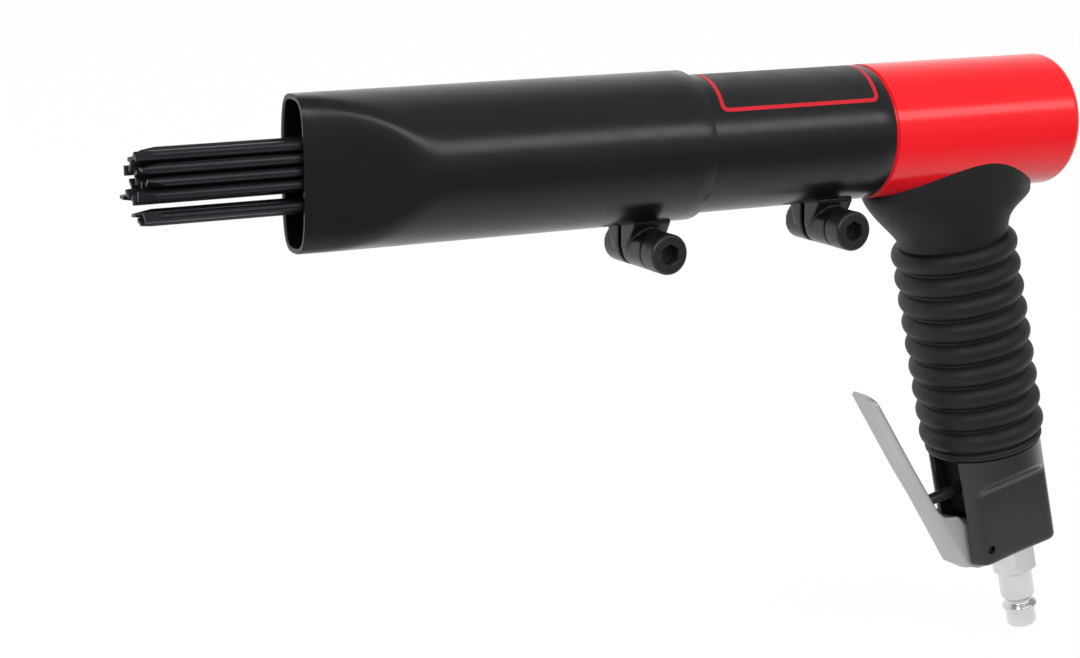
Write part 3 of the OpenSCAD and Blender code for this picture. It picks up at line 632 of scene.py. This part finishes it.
base_rings = []
for k in range(ROUND_ROWS + 1):
    a = math.pi / 2 * k / ROUND_ROWS
    round_h = BASE_BOTTOM + BASE_ROUND * (1 - math.cos(a))
    base_rings.append(base_ring(round_h, BASE_ROUND * (1 - math.sin(a))))
for start, end, rows in ((BASE_BOTTOM + BASE_ROUND, ARCH_LOW, LOW_ROWS), (ARCH_LOW, ARCH_HIGH, ARCH_ROWS),
                         (ARCH_HIGH, BASE_TOP, TOP_ROWS)):
    base_rings += [base_ring(start + (end - start) * k / rows, 0) for k in range(1, rows + 1)]
slot_cutter = mesh_of("slot", *loft([[on_handle(t, y, h) for t, y in slot_section()]
                                     for h in (BASE_BOTTOM - BASE_PAST, BASE_TOP + BASE_PAST)]))
deep_section = [(SLOT_DEEP, -SLOT_HALF), (2 * BASE_R, -SLOT_HALF), (2 * BASE_R, SLOT_HALF),
                (SLOT_DEEP, SLOT_HALF)]
deep_cutter = mesh_of("deep", *loft([[on_handle(t, y, h) for t, y in deep_section]
                                     for h in (BASE_BOTTOM - BASE_PAST, SLOT_KNEE)]))
base_mesh = cut_by(mesh_of("base", *loft(base_rings)), [
    slot_cutter, deep_cutter,
    rod(lambda h, t, y: on_handle(PIVOT_T + t, y, PIVOT_H + h), PIN_R + SEAT_FIT, -PIN_REACH, PIN_REACH,
        PIN_SIDES),
    rod(along_stem, CHAMBER_R, CHAMBER_END, SLOT_BACK + BASE_PAST, BORE_SIDES),
    rod(along_stem, BUSH_R + SEAT_FIT, BUSH_IN, SLOT_BACK + BASE_PAST, BUSH_SIDES),
    rod(on_handle, PASSAGE_R, STEM_H, BASE_TOP + BASE_PAST, PASSAGE_SIDES),
    rod(on_handle, CORE_SEAT_R + SEAT_FIT, BASE_TOP - CORE_SEAT_LEN - END_FIT, BASE_TOP + BASE_PAST,
        CORE_SIDES),
    rod(along_plug, THREAD_R + SEAT_FIT, BASE_BOTTOM - BASE_PAST, BASE_BOTTOM + THREAD_LEN + END_FIT,
        BORE_SIDES),
    rod(along_plug, PLUG_BORE_R, BASE_BOTTOM, STEM_H, BORE_SIDES)])
base_mesh.materials.append(materials["black_base"])
# Second material: painted shade on the slot's forward-facing back faces, where the recess lies in shadow
base_mesh.materials.append(slot_painted_shade)
handle_middle = on_handle(0, 0, 0)
handle_front = (on_handle(1, 0, 0) - handle_middle) / MM
for polygon in base_mesh.polygons:
    forward = (polygon.center - handle_middle).dot(handle_front) / MM
    if polygon.normal.dot(handle_front) > PAINTED_SHADE_FACING and forward < SLOT_BACK + PAINTED_SHADE_MARGIN:
        polygon.material_index = 1
put(base_mesh, "base_block", "housing", "black_base", ["handle_base"], 75)

# Lever: one pressed sheet whose edges fold back into two cheeks with a round lobe on the pin

LEVER_TILT = math.radians(20.8)
LEVER_FRONT = 9.5
LEVER_T = 1.5
LEVER_HALF = 6.7
LEVER_LEN = 74.2
LEVER_CORNER = 3.2
LEVER_SWEEP = 5.6
LEVER_FAR_SHARE = 0.12
LEVER_STILL = 26.0
LEVER_SET = 0.022
LEVER_TOE = -1.6
TOE_SLOPE = 0.755
TOE_START = 6.0
BEND_R = 2.2
BEND_STEPS = 18
FOLD_TRIES = 40
RIM_STEPS = 12
SHEET_SPAN = 44
CHEEK_R = 7.0
LOBE_START = 127
LOBE_DROP = 0.8
LOBE_DROP_START = 215
LOBE_DROP_SPAN = 70
HEEL = (4.68, -6.24)
FOLD_TOP = 46.0
FAN_TOP = 12.0
CHEEK_TOP = [(9.5, 46.0), (9.42, 41.0), (9.2, 35.0), (8.8, 29.0), (8.3, 25.0), (7.7, 22.0), (7.0, 20.3),
             (6.1, 19.0), (5.0, 17.9), (3.6, 16.8), (2.9, 16.4), (2.4, 16.0), (1.9, 15.4), (1.5, 14.2),
             (1.1, 12.0)]
CORNER_ROWS = 12
SHEET_ROWS = 22
CHEEK_ROWS = 80
LOBE_STEPS = 40
FAN_ROWS = 70
LEVER_PIN_FIT = 0.08
LEVER_PIN_REACH = 12


def on_lever(x, y, z):
    """A point in the lever's own frame, with its pin as the origin and z along the sheet."""
    c, s = math.cos(LEVER_TILT), math.sin(LEVER_TILT)
    return on_handle(PIVOT_T + x * c + z * s, y, PIVOT_H + z * c - x * s)


def fold_depth(angle):
    """How far back the sheet's edge reaches when it is folded by an angle."""
    rest = BEND_R * (1 - math.sin(angle)) / max(math.cos(angle), 0.00001)
    return BEND_R * (1 - math.cos(angle)) + rest * math.sin(angle)


def fold_angle(depth):
    """The angle that gives a depth, found by halving."""
    low, high = 0.0, math.pi / 2
    for _ in range(FOLD_TRIES):
        middle = (low + high) / 2
        if fold_depth(middle) < depth:
            low = middle
        else:
            high = middle
    return low


def evenly(path, count):
    """Points at even steps along a path."""
    steps = [0.0]
    for p, q in zip(path, path[1:]):
        steps.append(steps[-1] + math.dist(p, q))
    result = []
    at = 0
    for k in range(count + 1):
        want = steps[-1] * k / count
        while at < len(path) - 2 and steps[at + 1] < want:
            at += 1
        share = (want - steps[at]) / max(steps[at + 1] - steps[at], 0.000001)
        result.append(tuple(a + (b - a) * share for a, b in zip(path[at], path[at + 1])))
    return result


def trimmed(path, cut):
    """A path without its last stretch, and the direction in which it ends."""
    left = cut
    while math.dist(path[-1][:3], path[-2][:3]) < left:
        left -= math.dist(path[-1][:3], path[-2][:3])
        path = path[:-1]
    span = math.dist(path[-1][:3], path[-2][:3])
    ahead = Vector(path[-1][:3]) - Vector(path[-2][:3])
    end = tuple(a + (b - a) * left / span for a, b in zip(path[-1], path[-2]))
    return path[:-1] + [end], ahead.normalized()


def half_row(front_z, tip, half):
    """Half of one section of the sheet: its outside, its round edge and its inside."""
    depth = LEVER_FRONT - tip[0]
    slope = -TOE_SLOPE * ease((TOE_START - front_z) / (TOE_START - LEVER_TOE))
    bend = min(BEND_R, half)
    path = [(LEVER_FRONT, 0.0, front_z, 1.0, 0.0)]
    angle = fold_angle(depth) if depth < BEND_R else math.pi / 2
    for k in range(BEND_STEPS + 1):
        a = angle * k / BEND_STEPS
        c, d = math.cos(a), math.sin(a)
        back = bend * (1 - c)
        path.append((LEVER_FRONT - back, half - bend + bend * d, front_z + slope * back, c, d))
    tip_z = front_z if depth < BEND_R else tip[1]
    if math.dist(path[-1][:3], (tip[0], half, tip_z)) > TINY:
        path.append((tip[0], half, tip_z, math.cos(angle), math.sin(angle)))
    path, ahead = trimmed(path, LEVER_T / 2)
    outside = []
    inside = []
    for x, y, z, c, d in evenly(path, SHEET_SPAN):
        outside.append(Vector((x, y, z)))
        inside.append(Vector((x - LEVER_T * c, y - LEVER_T * d, z)))
    middle = (outside[-1] + inside[-1]) / 2
    normal = (outside[-1] - inside[-1]) / 2
    rim = []
    for k in range(1, RIM_STEPS):
        a = math.pi * k / RIM_STEPS
        rim.append(middle + normal * math.cos(a) + ahead * math.sin(a) * LEVER_T / 2)
    return outside + rim + inside[::-1]


def settled(p):
    """A point of the sheet in place; the front leans a little more than the cheeks."""
    return on_lever(p.x + LEVER_SET * (LEVER_STILL - p.z) * ease(p.x / LEVER_FRONT), p.y, p.z)


# The lever's sections from its tip down, each by its height, its edge's tip and its half width
lever_rows = []
corner_z = LEVER_LEN - LEVER_CORNER
for k in range(CORNER_ROWS + 1):
    a = math.pi / 2 * k / CORNER_ROWS
    z = corner_z + LEVER_CORNER * math.cos(a)
    lever_rows.append((z, (LEVER_FRONT, z), LEVER_HALF - LEVER_SWEEP + LEVER_SWEEP * math.sin(a)))
for k in range(1, SHEET_ROWS):
    z = corner_z + (FOLD_TOP - corner_z) * k / SHEET_ROWS
    lever_rows.append((z, (LEVER_FRONT, z), LEVER_HALF))
for x, z in evenly(CHEEK_TOP, CHEEK_ROWS):
    lever_rows.append((z, (x, z), LEVER_HALF))
lobe_start = math.radians(LOBE_START)
lobe_end = math.atan2(HEEL[1], HEEL[0]) + 2 * math.pi
lobe = [CHEEK_TOP[-1]]
for k in range(LOBE_STEPS + 1):
    a = lobe_start + (lobe_end - lobe_start) * k / LOBE_STEPS
    reach = CHEEK_R + LOBE_DROP * ease((a - math.radians(LOBE_DROP_START)) / math.radians(LOBE_DROP_SPAN))
    lobe.append((reach * math.cos(a), reach * math.sin(a)))
lobe.append((LEVER_FRONT - BEND_R, LEVER_TOE - TOE_SLOPE * BEND_R))
for k, tip in enumerate(evenly(lobe, FAN_ROWS)):
    if k:
        lever_rows.append((FAN_TOP + (LEVER_TOE - FAN_TOP) * k / FAN_ROWS, tip, LEVER_HALF))
lever_rings = []
for z, tip, half in lever_rows:
    right = half_row(z, tip, half)
    left = half_row(z, tip, LEVER_HALF - (LEVER_HALF - half) * LEVER_FAR_SHARE)
    mirrored_half = [Vector((p.x, -p.y, p.z)) for p in left[-2:0:-1]]
    lever_rings.append([settled(p) for p in right + mirrored_half])

# Both ends of the sheet are closed between its outside and its inside
lever_points, lever_faces = loft(lever_rings, False)
ring_size = len(lever_rings[0])
inner_middle = 2 * SHEET_SPAN + RIM_STEPS
for first in (0, (len(lever_rings) - 1) * ring_size):
    for way in (1, -1):
        outer_at = [first + way * k % ring_size for k in range(SHEET_SPAN + 1)]
        inner_at = [first + inner_middle - way * k for k in range(SHEET_SPAN + 1)]
        for k in range(SHEET_SPAN):
            lever_faces.append((outer_at[k], outer_at[k + 1], inner_at[k + 1], inner_at[k]))
        rim_at = [first + way * k % ring_size for k in range(SHEET_SPAN, SHEET_SPAN + RIM_STEPS + 1)]
        lever_faces.append(tuple(rim_at))
lever_mesh = cut_by(outward(mesh_of("lever", lever_points, lever_faces)), [
    rod(lambda z, x, y: on_lever(x, y, z), PIN_R + LEVER_PIN_FIT, -LEVER_PIN_REACH, LEVER_PIN_REACH,
        PIN_SIDES)])
put(lever_mesh, "lever_sheet", "lever", "zinc_steel", ["lever"], 40)

# Inlet plug: a turned nose, ring and neck under a hexagon with both ends chamfered

PLUG_SIDES = 144
NOSE_LEN = 6.6
HEX_HALF = 7.4
HEX_BOTTOM = 14.2
HEX_FOOT = 6.5
HEX_LOWER_SLOPE = 1.3
HEX_UPPER_SLOPE = 1.1
HEX_POWER = 60.0
HEX_STEP = 0.12
HEX_LOWER_ROWS = 17
HEX_UPPER_ROWS = 20
HEX_MIDDLE = [16.6, 18.5, 20.5, 22.5]
THREAD_CHAMFER = 0.5
PLUG_WELD = 0.000001
PLUG_TURNED = [(3.4, -6.6), (4.2, -6.6), (4.65, -6.48), (4.97, -6.2), (5.15, -5.75), (5.15, -1.3),
               (5.2, -1.05), (5.35, -0.85), (5.95, 0.1), (6.08, 0.35), (6.1, 0.6), (6.06, 0.9), (5.92, 1.15),
               (4.85, 2.25), (4.68, 2.5), (4.6, 2.8), (4.63, 3.1), (4.75, 3.4), (5.75, 4.5), (5.95, 4.8),
               (6.0, 5.15), (6.0, 13.5), (6.05, 13.8), (6.2, 14.05)]


def hex_radius(h, a):
    """The hexagon's radius at a height and an angle, with a round chamfer at both ends."""
    turn = (a + math.pi / 6) % (math.pi / 3) - math.pi / 6
    side = HEX_HALF / math.cos(math.pi / 6 - abs(turn))
    lower = HEX_FOOT + (h - HEX_BOTTOM) * HEX_LOWER_SLOPE
    upper = HEX_FOOT + (BASE_BOTTOM - h) * HEX_UPPER_SLOPE
    return (side ** -HEX_POWER + lower ** -HEX_POWER + upper ** -HEX_POWER) ** (-1 / HEX_POWER)


def plug_ring(h, radius):
    ring = []
    for j in range(PLUG_SIDES):
        a = 2 * math.pi * j / PLUG_SIDES
        r = radius(h, a)
        ring.append(along_plug(r * math.cos(a), r * math.sin(a), h))
    return ring


def turned(r):
    """The same radius all round."""
    return lambda h, a: r


plug_rings = [plug_ring(h, turned(r)) for r, h in PLUG_TURNED]
hex_rows = [HEX_BOTTOM + HEX_STEP * k for k in range(HEX_LOWER_ROWS)] + HEX_MIDDLE
hex_rows += [BASE_BOTTOM - HEX_STEP * k for k in range(HEX_UPPER_ROWS, -1, -1)]
plug_rings += [plug_ring(h, hex_radius) for h in hex_rows]
thread_top = BASE_BOTTOM + THREAD_LEN
plug_rings += [plug_ring(h, turned(r)) for r, h in (
    (THREAD_R, BASE_BOTTOM), (THREAD_R, thread_top - THREAD_CHAMFER), (THREAD_R - THREAD_CHAMFER, thread_top),
    (PLUG_BORE_R, thread_top), (PLUG_BORE_R, -NOSE_LEN))]
plug_shape = bmesh.new()
plug_shape.from_mesh(mesh_of("plug", *loft(plug_rings, False)))
bmesh.ops.remove_doubles(plug_shape, verts=plug_shape.verts, dist=PLUG_WELD)
plug_mesh = bpy.data.meshes.new("plug")
plug_shape.to_mesh(plug_mesh)
plug_shape.free()
put(plug_mesh, "plug_turned", "housing", "plated_steel", ["inlet_plug"], 30)

# Springs: round wire with closed end turns

CLOSE_SHARE = 0.45
COIL_STEPS = 48
WIRE_SIDES = 12
RETURN_TURNS = 9
RETURN_R = 17.8
RETURN_WIRE = 1.3
RETURN_END = 250.06
CARRIER_PRESS = 6.2
NOZZLE_PRESS = 15.0
VALVE_TURNS = 6
VALVE_R = 3.0
VALVE_WIRE = 0.5
VALVE_LEN = 15.4
VALVE_FIT = 0.05


def coil_rise(u, turns):
    """The share of a spring's length at a share of its turns; the end turns lie closer."""
    a = 1 / turns
    if u < a:
        return CLOSE_SHARE * u
    if u > 1 - a:
        return 1 - CLOSE_SHARE * (1 - u)
    return CLOSE_SHARE * a + (u - a) * (1 - 2 * CLOSE_SHARE * a) / (1 - 2 * a)


def coil(place, turns, radius, wire, start, end, first, last):
    """The turns from first to last of a spring whose wire's middle runs from start to end."""
    rings = []
    steps = int((last - first) * COIL_STEPS)
    for i in range(steps + 1):
        turn = first + (last - first) * i / steps
        a = 2 * math.pi * turn
        h = start + (end - start) * coil_rise(turn / turns, turns)
        ring = []
        for j in range(WIRE_SIDES):
            w = 2 * math.pi * j / WIRE_SIDES
            r = radius + wire * math.cos(w)
            ring.append(place(r * math.cos(a), r * math.sin(a), h - wire * math.sin(w)))
        rings.append(ring)
    return mesh_of("coil", *loft(rings))


return_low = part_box("return_spring")[0].x / MM - BARREL_X
half_turns = RETURN_TURNS / 2
for name, first, last, joint, travel in (
        ("return_spring_rear", 0, half_turns, "carrier_slide", CARRIER_PRESS),
        ("return_spring_front", half_turns, RETURN_TURNS, "nozzle_slide", NOZZLE_PRESS)):
    mesh = coil(along_barrel, RETURN_TURNS, RETURN_R, RETURN_WIRE, return_low + RETURN_WIRE,
                RETURN_END - RETURN_WIRE, first, last)
    spring = put(mesh, name, "barrel", "spring_steel", ["return_spring"], 60)
    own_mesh(spring)
valve_mesh = coil(along_stem, VALVE_TURNS, VALVE_R, VALVE_WIRE, CHAMBER_END + VALVE_WIRE + VALVE_FIT,
                  CHAMBER_END + VALVE_LEN - VALVE_WIRE - VALVE_FIT, 0, VALVE_TURNS)
valve_coil = put(valve_mesh, "valve_spring_coil", "housing", "spring_steel", ["valve_spring"], 60)
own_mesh(valve_coil)

# Metal and cast pieces with softened edges
for node, body, slot, width in (
        ("rear_housing", "housing", "red_paint", 0.4),
        ("rear_clamp_screw", "barrel", "black_oxide", 0.3),
        ("front_clamp_screw", "nozzle", "black_oxide", 0.3),
        ("valve_bush", "housing", "black_base", 0.3)):
    soft_mesh = softened(node, width)
    # The valve bush inside the slot takes the same darker black, as painted shade of the recess
    if node == "valve_bush":
        soft_mesh.materials.append(slot_painted_shade)
    put(soft_mesh, node + "_soft", body, slot, [node], 60)

# Bare label on the mid tube: black film with a thin red border

FILM = 0.05
LABEL_R = MID_R + 0.02
LABEL_X = 111.5
LABEL_HALF_X = 30.0
LABEL_HALF_ARC = 21.7
LABEL_ROUND = 2.6
LABEL_LEAST_ROUND = 0.5
LABEL_BORDER = 1.4
LABEL_BOW = 1.7
LABEL_STEP = 1.2
LABEL_CORNER_POINTS = 7
LABEL_RINGS = 14


def label_loop(inset):
    """A rounded rectangle, inset from the label's edge, as points along the barrel and round it."""
    a, b = LABEL_HALF_X - inset, LABEL_HALF_ARC - inset
    r = max(LABEL_ROUND - inset, LABEL_LEAST_ROUND)
    loop = []
    for cx, cy, start in ((a - r, b - r, 0), (r - a, b - r, 90), (r - a, r - b, 180), (a - r, r - b, 270)):
        for k in range(LABEL_CORNER_POINTS):
            t = math.radians(start + 90 * k / (LABEL_CORNER_POINTS - 1))
            loop.append((cx + r * math.cos(t), cy + r * math.sin(t)))
    return loop


def label_points(loop, counts):
    """A loop with each of its sides split into a number of steps."""
    flat = []
    for p, q, count in zip(loop, loop[1:] + loop[:1], counts):
        for k in range(count):
            flat.append((p[0] + (q[0] - p[0]) * k / count, p[1] + (q[1] - p[1]) * k / count))
    return flat


def on_label(x, arc):
    """A point of the label, whose ends bow forward towards its sides."""
    t = math.pi / 2 - arc / LABEL_R
    bow = LABEL_BOW * ((arc / LABEL_HALF_ARC) ** 2 - 1)
    return on_barrel(LABEL_X + x + bow, LABEL_R * math.cos(t), LABEL_R * math.sin(t))


outer = label_loop(0)
counts = [max(1, int(math.dist(p, q) / LABEL_STEP + 0.5)) for p, q in zip(outer, outer[1:] + outer[:1])]
edge = label_points(outer, counts)
inner = label_points(label_loop(LABEL_BORDER), counts)
shrinks = [1 - k / LABEL_RINGS for k in range(1, LABEL_RINGS)]
loops = [edge, inner] + [[(x * s, y * s) for x, y in inner] for s in shrinks]
size = len(edge)
label_pts, label_faces = loft([[on_label(x, y) for x, y in loop] for loop in loops], False)
last = (len(loops) - 1) * size
for j in range(size):
    label_faces.append((last + j, last + (j + 1) % size, len(label_pts)))
label_mesh = mesh_of("label", label_pts + [on_label(0, 0)], label_faces)
label_mesh.materials.append(label_black)
label_mesh.materials.append(label_red)
for polygon in label_mesh.polygons:
    polygon.material_index = 1 if polygon.index < size else 0
label_film = baked(outward(label_mesh), ("SOLIDIFY", {"thickness": FILM * MM, "offset": 1.0}))
put(label_film, "label_plate", "barrel", "black_paint", (), 40)

# Stage: a white floor that keeps a share of the shadow

FLOOR_DROP = 0.0005
FLOOR_HALF = 4
FLOOR_SHADE = 0.85
FLOOR_GREY = (0.5, 0.5, 0.5, 1)
WHITE = (1, 1, 1, 1)
GLOW_LEVEL = 1.1
FADE_PLACE = (-0.03, 0.36)
FADE_LEVEL = (0.0, 0.92)


def stage_material(name, shade):
    """White towards the camera and in reflections, with a share of real shading for the shadow."""
    material = bpy.data.materials.new(name)
    material.use_nodes = True
    tree = material.node_tree
    tree.nodes.clear()
    out = add(tree, "ShaderNodeOutputMaterial", (600, 0))
    diffuse = add(tree, "ShaderNodeBsdfDiffuse", (0, 100), Color=FLOOR_GREY)
    glow = add(tree, "ShaderNodeEmission", (0, -100), Color=WHITE)
    path = add(tree, "ShaderNodeLightPath", (-600, 0)).outputs
    place = add(tree, "ShaderNodeSeparateXYZ", (-800, -400))
    geometry = add(tree, "ShaderNodeNewGeometry", (-1000, -400))
    tree.links.new(geometry.outputs["Position"], place.inputs[0])
    fade = ranged(tree, place.outputs["Y"], FADE_PLACE, FADE_LEVEL, (-600, -400), "SMOOTHSTEP")
    less = calc(tree, "MULTIPLY", (-400, -400), path["Is Glossy Ray"], fade)
    tree.links.new(calc(tree, "SUBTRACT", (-200, -400), GLOW_LEVEL, less), glow.inputs["Strength"])
    seen = calc(tree, "MAXIMUM", (-400, 0), path["Is Camera Ray"], path["Is Glossy Ray"])
    seen = calc(tree, "MAXIMUM", (-200, 0), seen, path["Is Transmission Ray"])
    mix = add(tree, "ShaderNodeMixShader", (300, 0))
    tree.links.new(calc(tree, "MULTIPLY", (0, 300), seen, shade), mix.inputs[0])
    tree.links.new(diffuse.outputs[0], mix.inputs[1])
    tree.links.new(glow.outputs[0], mix.inputs[2])
    tree.links.new(mix.outputs[0], out.inputs["Surface"])
    return material


floor_z = cad_low.z - FLOOR_DROP
floor_corners = [(x * FLOOR_HALF, y * FLOOR_HALF, floor_z) for x, y in ((-1, -1), (1, -1), (1, 1), (-1, 1))]
floor_mesh = bpy.data.meshes.new("floor")
floor_mesh.from_pydata(floor_corners, [], [(0, 1, 2, 3)])
floor = bpy.data.objects.new("floor", floor_mesh)
scene.collection.objects.link(floor)
floor_mesh.materials.append(stage_material("floor_white", FLOOR_SHADE))

# The studio is white, with a darker room on the viewer's side for reflections

VIEWER_SIDE = (-0.1, 0.985, 0.14)
ROOM_FACING = (-0.7, 0.15)
ROOM_LEVEL = (1.0, 0.4)
SKY_LEVEL = 0.75
world = bpy.data.worlds.new("studio")
scene.world = world
world.use_nodes = True
sky = world.node_tree
back = sky.nodes["Background"]
back.inputs["Color"].default_value = WHITE
lit = add(sky, "ShaderNodeLightPath", (-900, 0)).outputs
facing = add(sky, "ShaderNodeVectorMath", (-900, -300))
facing.operation = "DOT_PRODUCT"
facing.inputs[1].default_value = VIEWER_SIDE
sky.links.new(add(sky, "ShaderNodeTexCoord", (-1100, -300)).outputs["Generated"], facing.inputs[0])
dim = ranged(sky, facing.outputs["Value"], ROOM_FACING, ROOM_LEVEL, (-700, -300), "SMOOTHSTEP")
mirrored = calc(sky, "MULTIPLY", (-500, -200), lit["Is Glossy Ray"], dim)
shown = calc(sky, "MAXIMUM", (-500, 0), lit["Is Camera Ray"], lit["Is Transmission Ray"])
spread_light = calc(sky, "MULTIPLY", (-500, 200), lit["Is Diffuse Ray"], SKY_LEVEL)
total = calc(sky, "ADD", (-300, 0), shown, mirrored)
whole_light = calc(sky, "ADD", (-150, 0), total, spread_light)
sky.links.new(whole_light, back.inputs["Strength"])


def soft_box(name, at, to, size, power):
    """A rectangular lamp at one point that shines towards another."""
    light = bpy.data.lights.new(name, "AREA")
    light.shape = "RECTANGLE"
    light.size, light.size_y = size
    light.energy = power
    lamp = bpy.data.objects.new(name, light)
    lamp.location = at
    lamp.rotation_mode = "QUATERNION"
    lamp.rotation_quaternion = (Vector(to) - Vector(at)).to_track_quat("-Z", "Y")
    scene.collection.objects.link(lamp)


soft_box("key", (-0.45, 1.5, 1.04), (-0.45, 0.0, 0.174), (2.5, 0.42), 10.5)
soft_box("front", (1.3, 1.0, 0.9), (0.2, 0.0, 0.12), (0.6, 0.6), 6.0)

# Camera at the photograph's viewing angle

SENSOR_WIDTH = 36.0
PHOTO_WIDTH = 1080
FOCAL_PIXELS = 2617.15
eye = Vector((578.1, 705.7, 287.4)) * MM
aim = Vector((195.07, 0.0, 120.07)) * MM
lens = bpy.data.cameras.new("camera")
lens.sensor_width = SENSOR_WIDTH
lens.lens = SENSOR_WIDTH * FOCAL_PIXELS / PHOTO_WIDTH
camera = bpy.data.objects.new("camera", lens)
camera.location = eye
camera.rotation_mode = "QUATERNION"
camera.rotation_quaternion = (aim - eye).to_track_quat("-Z", "Y")
scene.collection.objects.link(camera)
scene.camera = camera
scene.view_settings.view_transform = "Standard"
